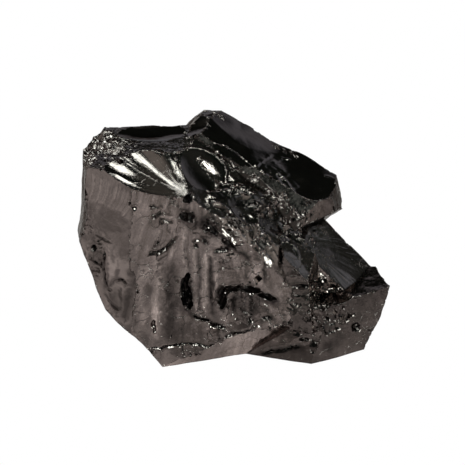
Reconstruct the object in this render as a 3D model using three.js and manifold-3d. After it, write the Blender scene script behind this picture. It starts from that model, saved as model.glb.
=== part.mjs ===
// A hand-sized lump of elite shungite, broken out of its vein in one piece and
// lying on its flattest fracture. Millimetres, +Z up, the front looks along -Y.
// The stone is five blocks grown together, each split free by curved fractures,
// with shell-shaped flakes and pits broken out of the joined body afterwards.
import * as THREE from "three";
import { mergeVertices } from "three/addons/utils/BufferGeometryUtils.js";
import Module from "manifold-3d";

const wasm = await Module();
wasm.setup();

// A fracture sheet reaches this far either side of its middle, on a grid of
// this spacing, and everything up to this far outside of it is thrown away.
const sheetReach = 80;
const sheetStep = 2.5;
const brokenDepth = 70;

// Rough block that the fractures of one body work on, standing on the floor.
const rough = { width: 70, depth: 50, height: 46, middle: [0, 20, 23] };

// The unevenness of a fracture is a sum of crossed waves: the first has this
// length, and each next one is shorter, lower and turned by this much.
const waves = { count: 3, length: 19, shrink: 0.62, fade: 0.58, turn: 137.5 };

// A fracture is given by a point on it, the turn of its outer side from the
// front towards +X, its lean from upright towards facing up (both in degrees),
// its bow across and up (the drop in mm at 10 mm from the point, negative where
// the face is hollow) and the height of its first wave in mm.
const bodyFractures = {
  frontLeft: { at: [-19, 0.3, 20], turn: -20, lean: 2, bow: [0.15, 0.1], wave: 0.1 },
  frontMiddle: { at: [-13, 0.6, 20], turn: 4, lean: 2, bow: [0.25, 0.1], wave: 0.2 },
  frontRight: { at: [-4, 1.8, 20], turn: 8, lean: 2, bow: [0.1, 0.05], wave: 0.3 },
  frontFoot: { at: [2.5, 5.4, 0], turn: 17, lean: -25, bow: [0, 0], wave: 0.1 },
  leftTop: { at: [-28.9, 9, 31], turn: -84, lean: 6, bow: [0.3, 0.2], wave: 0.25 },
  leftMiddle: { at: [-28.7, 4, 21.5], turn: -76, lean: -14, bow: [0.1, 0.1], wave: 0.25 },
  leftFoot: { at: [-20, 1.8, 6.6], turn: -74, lean: -40, bow: [0.1, 0.1], wave: 0.3 },
  leftCorner: { at: [-27.4, 15, 39.3], turn: -80, lean: 52, bow: [0.3, 0.3], wave: 0.4 },
  top: { at: [-20, 14, 41], turn: 180, lean: 88, bow: [0.1, 0.1], wave: 0.15 },
  middleTop: { at: [-7, 2, 35.7], turn: 68, lean: 54, bow: [0, 0], wave: 0.1 },
  diagonalHigh: { at: [2.4, 5.2, 28.6], turn: 66, lean: 46, bow: [0, 0], wave: 0.4 },
  diagonalLow: { at: [4.3, 3.2, 23.1], turn: 43, lean: 27, bow: [0, 0], wave: 0.3 },
  rightWall: { at: [13.7, 16, 20], turn: 88, lean: 5, bow: [0, 0], wave: 0.2 },
  backRight: { at: [19, 27, 14], turn: 155, lean: 8, bow: [0.2, 0.2], wave: 0.5 },
  backTop: { at: [-18, 26, 40.5], turn: 188, lean: 38, bow: [0.3, 0.3], wave: 0.4 },
  backWall: { at: [-4, 36, 15], turn: 182, lean: 4, bow: [0.3, 0.3], wave: 0.5 },
  backLeft: { at: [-27, 28, 20], turn: -125, lean: -4, bow: [0.3, 0.2], wave: 0.5 },
};

// The slab lies across the top right and overhangs the ledge below it.
const slabFractures = {
  top: { at: [3, 18.5, 34.9], turn: 72, lean: 56.4, bow: [0.1, -0.3], wave: 0.2 },
  riser: { at: [3, 18.5, 34.9], turn: 10.7, lean: 25, bow: [0, 0], wave: 0.15 },
  endFront: { at: [15, 17, 27], turn: 49, lean: 4, bow: [0.2, 0.2], wave: 0.1 },
  endRight: { at: [20.6, 25, 25], turn: 80, lean: 12, bow: [0.2, 0.2], wave: 0.1 },
  overhang: { at: [16.6, 17, 24.1], turn: 47, lean: -48, bow: [0, 0], wave: 0.1 },
  shoulder: { at: [-6, 28, 41.6], turn: 180, lean: 82, bow: [0, 0], wave: 0.15 },
  back: { at: [8, 33.1, 34], turn: 173, lean: 12, bow: [0.1, 0.3], wave: 0.3 },
  left: { at: [-8.8, 20, 42], turn: -100, lean: 32, bow: [0, 0], wave: 0.1 },
  under: { at: [10, 25, 17], turn: -90, lean: -50, bow: [0, 0], wave: 0 },
};

// The ledge is the long dark slope that drops to the right under the slab.
const ledgeFractures = {
  top: { at: [19.2, 22, 17.1], turn: 64.2, lean: 46, bow: [-0.4, -0.3], wave: 0.1 },
  riser: { at: [18, 13.3, 14], turn: 5, lean: 8, bow: [0, 0], wave: 0.1 },
  inner: { at: [13.2, 16, 19], turn: -90, lean: 8, bow: [0, 0], wave: 0 },
  end: { at: [28.7, 9, 5.5], turn: 98, lean: -25, bow: [0, 0], wave: 0 },
  back: { at: [24, 25, 14], turn: 160, lean: 6, bow: [0.2, 0.2], wave: 0.3 },
  under: { at: [18, 13, 5], turn: -60, lean: -70, bow: [0, 0], wave: 0 },
};

// A short step stands in front of the ledge, at the end of the front face.
const stepFractures = {
  top: { at: [12.3, 6.5, 20.3], turn: 64, lean: 45, bow: [0, 0], wave: 0.1 },
  riser: { at: [12.3, 5, 19], turn: -4, lean: 8, bow: [0, 0], wave: 0.1 },
  inner: { at: [9.5, 6.5, 22], turn: -70, lean: 10, bow: [0, 0], wave: 0 },
  back: { at: [12, 12, 19], turn: 180, lean: 20, bow: [0, 0], wave: 0 },
  end: { at: [15.2, 7, 17], turn: 75, lean: 8, bow: [0, 0], wave: 0.1 },
  under: { at: [12, 9, 6], turn: -60, lean: -70, bow: [0, 0], wave: 0 },
};

// The foot is the low block at the front right, with a raised outer rim.
const footFractures = {
  top: { at: [31.6, 12, 12], turn: -120, lean: 76, bow: [-0.3, -0.3], wave: 0.1 },
  frontRight: { at: [20, 3.8, 0], turn: 27.7, lean: 8.5, bow: [0.1, 0.1], wave: 0.1 },
  frontLeft: { at: [9, 3.5, 0], turn: -16, lean: 20, bow: [0, 0], wave: 0.1 },
  end: { at: [29.1, 9, 5.5], turn: 98, lean: -25, bow: [0.1, 0.1], wave: 0.2 },
  back: { at: [24, 24.7, 14], turn: 160, lean: 6, bow: [0.2, 0.2], wave: 0.3 },
  inner: { at: [1, 20, 0], turn: -90, lean: 10, bow: [0, 0], wave: 0 },
};

// Flakes broken out of the joined body. They are hollow fractures too, so each
// one only bites inside its own ring. The shell has a steep right side and
// flutes that spread from the point where it was struck.
const flakeScars = {
  shell: { at: [-14, 7, 38], turn: 32, lean: 72, bow: [-2, -1], wave: 0, steep: 7, strike: [1.4, -7], flute: 0.03 },
  dish: { at: [-3.5, 11, 35], turn: 68, lean: 56, bow: [-1.6, -1.4], wave: 0.05 },
  shelf: { at: [-14.5, 20.5, 40.3], turn: 190, lean: 84, bow: [-1.2, -2], wave: 0.05 },
  notch: { at: [4, 11, 29.8], turn: 40, lean: 48, bow: [-5, -5], wave: 0.1 },
};

// Pits: middle, half sizes across, in and up, and the lean of the long way.
const pits = [
  { at: [1.2, 1.6, 12.4], size: [5.6, 2.6, 3.6], lean: 4 },
  { at: [6.6, 2.4, 10.6], size: [2.4, 1.8, 2.2], lean: 0 },
  { at: [-9.4, 1.3, 16.2], size: [1.1, 2.4, 4.4], lean: -6 },
  { at: [-9, 1.3, 36.4], size: [1.1, 2.4, 1.1], lean: 0 },
  { at: [-6, 1.4, 32.4], size: [2.6, 1.1, 1.5], lean: 30 },
];

function radians(degrees) {
  return (degrees * Math.PI) / 180;
}

function unevenness(u, v, { wave, turn, lean }) {
  const start = radians(turn + lean);
  let height = 0;
  let size = wave;
  let length = waves.length;
  let direction = start;
  for (let k = 1; k <= waves.count; k += 1) {
    const along = u * Math.cos(direction) + v * Math.sin(direction);
    height += size * Math.sin((2 * Math.PI * along) / length + k * start);
    size *= waves.fade;
    length *= waves.shrink;
    direction += radians(waves.turn);
  }
  return height;
}

// Height of a fracture above its tangent plane at u across and v up.
function sheetHeight(fracture, u, v) {
  const [bowAcross, bowUp] = fracture.bow;
  let height = unevenness(u, v, fracture) - bowAcross * (u / 10) ** 2 - bowUp * (v / 10) ** 2;
  if (fracture.steep) {
    height += fracture.steep * (Math.max(u, 0) / 10) ** 2;
  }
  if (fracture.strike) {
    const [strikeAcross, strikeUp] = fracture.strike;
    const distance = Math.hypot(u - strikeAcross, v - strikeUp);
    const bearing = Math.atan2(v - strikeUp, u - strikeAcross);
    height += fracture.flute * distance * Math.cos(9 * bearing);
  }
  return height;
}

function toSolid(geometry) {
  geometry.deleteAttribute("normal");
  geometry.deleteAttribute("uv");
  const merged = mergeVertices(geometry, 1e-5);
  return new wasm.Manifold(new wasm.Mesh({
    numProp: 3,
    vertProperties: new Float32Array(merged.attributes.position.array),
    triVerts: new Uint32Array(merged.index.array),
  }));
}

// Matrix whose axes run across, up and out of a face with this turn and lean.
function faceMatrix({ at, turn, lean }) {
  const t = radians(turn);
  const l = radians(lean);
  const out = new THREE.Vector3(Math.sin(t) * Math.cos(l), -Math.cos(t) * Math.cos(l), Math.sin(l));
  const across = new THREE.Vector3(Math.cos(t), Math.sin(t), 0);
  const up = new THREE.Vector3().crossVectors(out, across);
  return new THREE.Matrix4().makeBasis(across, up, out).setPosition(...at);
}

// Everything on the outer side of a fracture, as a solid to take away.
function brokenSide(fracture) {
  const cells = Math.round((2 * sheetReach) / sheetStep);
  const slab = new THREE.BoxGeometry(2 * sheetReach, 2 * sheetReach, 2, cells, cells, 1);
  const points = slab.attributes.position;
  for (let i = 0; i < points.count; i += 1) {
    const inner = points.getZ(i) < 0;
    const height = inner ? sheetHeight(fracture, points.getX(i), points.getY(i)) : brokenDepth;
    points.setZ(i, height);
  }
  slab.applyMatrix4(faceMatrix(fracture));
  return toSolid(slab);
}

function splitBlock(fractures) {
  const block = new THREE.BoxGeometry(rough.width, rough.depth, rough.height);
  block.translate(...rough.middle);
  let solid = toSolid(block);
  for (const fracture of Object.values(fractures)) {
    solid = solid.subtract(brokenSide(fracture));
  }
  return solid;
}

function pitSolid({ at, size, lean }) {
  const pit = new THREE.SphereGeometry(1, 12, 8);
  pit.scale(...size);
  pit.rotateY(radians(lean));
  pit.translate(...at);
  return toSolid(pit);
}

function lumpGeometry() {
  let stone = splitBlock(bodyFractures);
  for (const fractures of [slabFractures, ledgeFractures, stepFractures, footFractures]) {
    stone = stone.add(splitBlock(fractures));
  }
  for (const scar of Object.values(flakeScars)) {
    stone = stone.subtract(brokenSide(scar));
  }
  for (const pit of pits) {
    stone = stone.subtract(pitSolid(pit));
  }
  const mesh = stone.getMesh();
  const geometry = new THREE.BufferGeometry();
  geometry.setAttribute("position", new THREE.BufferAttribute(mesh.vertProperties, 3));
  geometry.setIndex(new THREE.BufferAttribute(mesh.triVerts, 1));
  geometry.computeBoundingBox();
  const middle = geometry.boundingBox.getCenter(new THREE.Vector3());
  geometry.translate(-middle.x, -middle.y, 0);
  return geometry;
}

const lump = new THREE.Group();
const shungite = new THREE.MeshStandardMaterial({ color: 0x2a2624, roughness: 0.15, metalness: 0.8 });
const stone = new THREE.Mesh(lumpGeometry(), shungite);
stone.name = "shungite_lump";
lump.add(stone);

export default lump;
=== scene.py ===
# Elite shungite lump: one broken piece of glossy black stone on a pale floor.
import math
import bpy
import numpy as np
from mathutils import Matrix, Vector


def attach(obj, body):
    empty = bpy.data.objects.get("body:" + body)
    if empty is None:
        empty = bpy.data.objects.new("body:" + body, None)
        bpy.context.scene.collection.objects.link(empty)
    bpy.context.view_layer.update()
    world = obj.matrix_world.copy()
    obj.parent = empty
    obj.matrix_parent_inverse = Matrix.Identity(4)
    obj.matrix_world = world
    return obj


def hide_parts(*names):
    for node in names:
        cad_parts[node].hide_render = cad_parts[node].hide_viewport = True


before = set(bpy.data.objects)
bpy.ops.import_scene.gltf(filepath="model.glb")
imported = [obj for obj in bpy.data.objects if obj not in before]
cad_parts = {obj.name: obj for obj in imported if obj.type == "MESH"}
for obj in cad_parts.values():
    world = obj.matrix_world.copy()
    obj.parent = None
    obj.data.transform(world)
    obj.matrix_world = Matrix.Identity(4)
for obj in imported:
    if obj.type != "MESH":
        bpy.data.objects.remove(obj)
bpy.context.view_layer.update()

mm = 0.001

# What a user would change about the stone as a whole. All lengths in millimetres.
lump = {
    "middle": (0.132, 18.469),      # the box's middle, seen from the fractures' own origin
    "rough": {"low": (-35, -5, 0), "high": (35, 45, 46)},
    "reach": 80,                    # a fracture sheet runs this far each way
    "brokenDepth": 70,              # and takes away this much outside of it
    "hiddenSpan": (-20, 20, -20, 20),  # a sheet that shows nowhere is coarse over this span
    "hiddenSpacing": 5,
    "widerLines": (1.5, 3.5, 7.0, 12.0, 20.0),  # its grid lines past the fine part lie this far out
    "margin": 1.5,                  # a sheet's fine grid runs this far past the part that shows
    "ragged": (0.28, 1.2),          # how far and over what length marks waver
    "sharpAngle": 34,               # edges turning more than this stay crisp
    "waves": {"count": 3, "length": 19, "shrink": 0.62, "fade": 0.58, "turn": 137.5},
}

# What a fracture has unless its own row says otherwise.
plainSheet = {
    "bow": (0, 0),
    "wave": 0.1,
    "steep": 0,                     # rise in mm at 10 mm across, on the +u side alone
    "grain": (0.03, 2.4),           # height and length of its fine grain
    "fine": 0.34,                   # spacing of its grid where it shows
    "near": 0.12,                   # points of the CAD solid this close to it tell where it shows
}

# The view that the marks' places are given in, which is also the camera's.
viewLook = {"elevation": 27.0, "lens": 130.0, "sensor": 36.0, "distance": 335.83, "aim": (0.0, 18.0, 20.7),
            "steps": 465, "step": 0.2}  # a step is about this many mm on the stone
viewRise = math.radians(viewLook["elevation"])
viewForward = np.array((0, math.cos(viewRise), -math.sin(viewRise)))
viewUp = np.array((0, math.sin(viewRise), math.cos(viewRise)))
viewEye = np.array(viewLook["aim"]) - viewLook["distance"] * viewForward

# A fracture is a point on it, the turn of its outer side from the front towards
# +X, its lean from upright towards facing up, its bow across and up (the drop in
# mm at 10 mm, negative where hollow) and the height of its first wave in mm.
bodyFractures = {
    "frontLeft": {"at": (-19, 0.3, 20), "turn": -20, "lean": 2, "bow": (0.15, 0.1), "fine": 0.22},
    "frontMiddle": {"at": (-13, 0.6, 20), "turn": 4, "lean": 2, "bow": (0.25, 0.1), "wave": 0.2,
                    "grain": (0.04, 2), "fine": 0.22},
    "frontRight": {"at": (-4, 1.8, 20), "turn": 8, "lean": 2, "bow": (0.1, 0.05), "wave": 0.3,
                   "grain": (0.07, 1.6), "fine": 0.22},
    "frontFoot": {"at": (2.5, 5.4, 0), "turn": 17, "lean": -25, "grain": (0.12, 3)},
    "leftTop": {"at": (-28.9, 9, 31), "turn": -84, "lean": 6, "bow": (0.3, 0.2), "wave": 0.25,
                "grain": (0.35, 4.5), "fine": 0.5},
    "leftMiddle": {"at": (-28.1, 4, 21.5), "turn": -76, "lean": -17.7, "bow": (0.1, 0.1), "wave": 0.25,
                   "grain": (0.3, 4), "fine": 0.5},
    "leftFoot": {"at": (-19.5, 1.8, 6.6), "turn": -74, "lean": -40, "bow": (0.1, 0.1), "wave": 0.3,
                 "grain": (0.35, 4.5), "fine": 0.5},
    "leftCorner": {"at": (-27.4, 15, 39.85), "turn": -94, "lean": 41, "bow": (0.3, 0.3), "wave": 0.4,
                   "grain": (0.35, 4), "near": 2.2},
    "top": {"at": (-20, 14, 41), "turn": 180, "lean": 88, "bow": (0.1, 0.1), "wave": 0.15, "grain": (0.2, 4)},
    "middleTop": {"at": (-7, 2, 35.7), "turn": 68, "lean": 54},
    "diagonalHigh": {"at": (2.4, 5.2, 28.6), "turn": 66, "lean": 46, "wave": 0.4, "grain": (0.18, 3)},
    "diagonalLow": {"at": (4.3, 3.2, 23.1), "turn": 43, "lean": 27, "wave": 0.3, "grain": (0.2, 3)},
    "rightWall": {"at": (13.7, 16, 20), "turn": 88, "lean": 5, "wave": 0.2},
    "backRight": {"at": (19, 27, 14), "turn": 155, "lean": 8, "bow": (0.2, 0.2), "wave": 0.5, "fine": 0.8,
                  "grain": (0.35, 5)},
    "backTop": {"at": (-18, 26, 40.5), "turn": 188, "lean": 38, "bow": (0.3, 0.3), "wave": 0.4, "fine": 0.8,
                "grain": (0.35, 5)},
    "backWall": {"at": (-4, 36, 15), "turn": 182, "lean": 4, "bow": (0.3, 0.3), "wave": 0.5, "fine": 0.8,
                 "grain": (0.35, 5)},
    "backLeft": {"at": (-27, 28, 20), "turn": -125, "lean": -4, "bow": (0.3, 0.2), "wave": 0.5, "fine": 0.8,
                 "grain": (0.35, 5)},
}

slabFractures = {
    "top": {"at": (3, 18.5, 34.9), "turn": 72, "lean": 56.4, "bow": (0.1, -0.3), "wave": 0.2},
    "riser": {"at": (3, 18.5, 34.9), "turn": 10.7, "lean": 25, "wave": 0.15, "grain": (0.25, 2.5)},
    "lip": {"at": (2.86, 18.7, 34.65), "turn": 35, "lean": 45, "wave": 0.15, "grain": (0.15, 2.5)},
    "endFront": {"at": (15, 17, 27), "turn": 49, "lean": 4, "bow": (0.2, 0.2), "grain": (0.1, 2.5)},
    "endRight": {"at": (20.6, 25, 25), "turn": 80, "lean": 12, "bow": (0.2, 0.2),
                 "grain": (0.25, 3), "fine": 0.6},
    "overhang": {"at": (16.6, 17, 24.1), "turn": 47, "lean": -48, "grain": (0.2, 3), "fine": 0.6},
    "shoulder": {"at": (-6, 28, 41.6), "turn": 180, "lean": 82, "wave": 0.15, "grain": (0.3, 3)},
    "back": {"at": (7.4, 34.5, 34), "turn": 173, "lean": 12, "bow": (1.0, 0.3), "wave": 0.3, "fine": 0.8,
             "grain": (0.35, 4)},
    "left": {"at": (-8.1, 20, 41.8), "turn": -100, "lean": 48, "bow": (0.3, 0.3),
             "grain": (0.3, 3), "near": 2.2},
    "under": {"at": (10, 25, 17), "turn": -90, "lean": -50, "wave": 0, "fine": 0.6},
}

ledgeFractures = {
    "top": {"at": (19.2, 22, 17.1), "turn": 64.2, "lean": 46, "bow": (-0.4, -0.3)},
    "riser": {"at": (18, 13.3, 14), "turn": 5, "lean": 8, "grain": (0.12, 2.5)},
    "inner": {"at": (13.2, 16, 19), "turn": -90, "lean": 8, "wave": 0},
    "end": {"at": (28.7, 9, 5.5), "turn": 98, "lean": -25, "wave": 0},
    "back": {"at": (24, 25, 14), "turn": 160, "lean": 6, "bow": (0.2, 0.2), "wave": 0.3, "fine": 0.8,
             "grain": (0.3, 4)},
    "under": {"at": (18, 13, 5), "turn": -60, "lean": -70, "wave": 0},
}

stepFractures = {
    "top": {"at": (12.3, 6.5, 20.3), "turn": 64, "lean": 45},
    "riser": {"at": (12.3, 5, 19), "turn": -4, "lean": 8, "grain": (0.15, 2.5)},
    "inner": {"at": (9.5, 6.5, 22), "turn": -70, "lean": 10, "wave": 0},
    "back": {"at": (12, 12, 19), "turn": 180, "lean": 20, "wave": 0},
    "end": {"at": (15.2, 7, 17), "turn": 75, "lean": 8, "grain": (0.2, 2.5), "fine": 0.6},
    "under": {"at": (12, 9, 6), "turn": -60, "lean": -70, "wave": 0},
}

footFractures = {
    "top": {"at": (31.6, 12, 12), "turn": -120, "lean": 76, "bow": (-0.3, -0.3), "grain": (0.15, 3)},
    "frontRight": {"at": (20, 3.8, 0), "turn": 27.7, "lean": 8.5, "bow": (0.1, 0.1)},
    "frontLeft": {"at": (9, 3.5, 0), "turn": -16, "lean": 20, "grain": (0.15, 3)},
    "end": {"at": (29.1, 9, 5.5), "turn": 98, "lean": -25, "bow": (0.1, 0.1), "wave": 0.2,
            "grain": (0.35, 4), "fine": 0.6},
    "back": {"at": (24, 24.7, 14), "turn": 160, "lean": 6, "bow": (0.2, 0.2), "wave": 0.3, "fine": 0.8,
             "grain": (0.3, 4)},
    "inner": {"at": (1, 20, 0), "turn": -90, "lean": 10, "wave": 0},
}

flakeScars = {
    "shell": {"at": (-14, 7, 38), "turn": 32, "lean": 72, "bow": (-2, -1), "wave": 0, "steep": 7,
              "grain": (0.004, 3)},
    "dish": {"at": (-3.5, 11, 35), "turn": 68, "lean": 56, "bow": (-1.6, -1.4), "wave": 0.05},
    "shelf": {"at": (-14.5, 20.5, 40.3), "turn": 190, "lean": 84, "bow": (-1.2, -2), "wave": 0.05},
    "notch": {"at": (4, 11, 29.8), "turn": 40, "lean": 48, "bow": (-5, -5)},
}

# Pits: middle, half sizes across, in and up, and the lean of the long way. Their
# walls swell by ragged times a noise with this many knots over the ball.
pitLook = {"rings": 22, "ragged": 0.45, "knots": 2.1, "skew": (1.3, -0.9)}
pits = {
    "roundHole": {"at": (-8.4, 1.4, 35.9), "size": (1.0, 2.4, 1.0), "lean": 0},
    "slitTop": {"at": (-9.1, 1.0, 18.2), "size": (0.75, 1.9, 2.5), "lean": 12},
    "slitFoot": {"at": (-8.6, 1.2, 15.2), "size": (1.15, 2.1, 2.3), "lean": -5},
    "archLeft": {"at": (-1.9, 1.7, 14.6), "size": (0.9, 1.8, 2.2), "lean": 8},
    "archTopLeft": {"at": (-0.2, 2.0, 16.5), "size": (1.7, 1.6, 0.8), "lean": 10},
    "archTop": {"at": (3.4, 2.4, 16.0), "size": (2.3, 1.5, 0.8), "lean": 8},
    "archRight": {"at": (7.0, 3.2, 14.1), "size": (2.1, 1.4, 0.7), "lean": 26},
    "spot": {"at": (1.6, 1.9, 11.9), "size": (0.5, 1.0, 0.45), "lean": 0},
    "hollowLeft": {"at": (-9.1, 1.6, 32.4), "size": (0.7, 1.0, 0.8), "lean": 0},
    "hollowRight": {"at": (-7.8, 1.7, 32.1), "size": (0.6, 1.0, 1.1), "lean": 0},
    "tear": {"at": (-3.9, 1.9, 29.6), "size": (0.6, 1.0, 1.9), "lean": -35},
    "underLip": {"at": (-0.7, 1.6, 26.4), "size": (0.6, 1.2, 1.9), "lean": -48},
    "darkCorner": {"at": (12.1, 4.3, 19.4), "size": (0.6, 0.9, 1.0), "lean": -45},
    "footHole": {"at": (24.7, 7.2, 5.1), "size": (0.5, 0.8, 0.5), "lean": 0},
}


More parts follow.
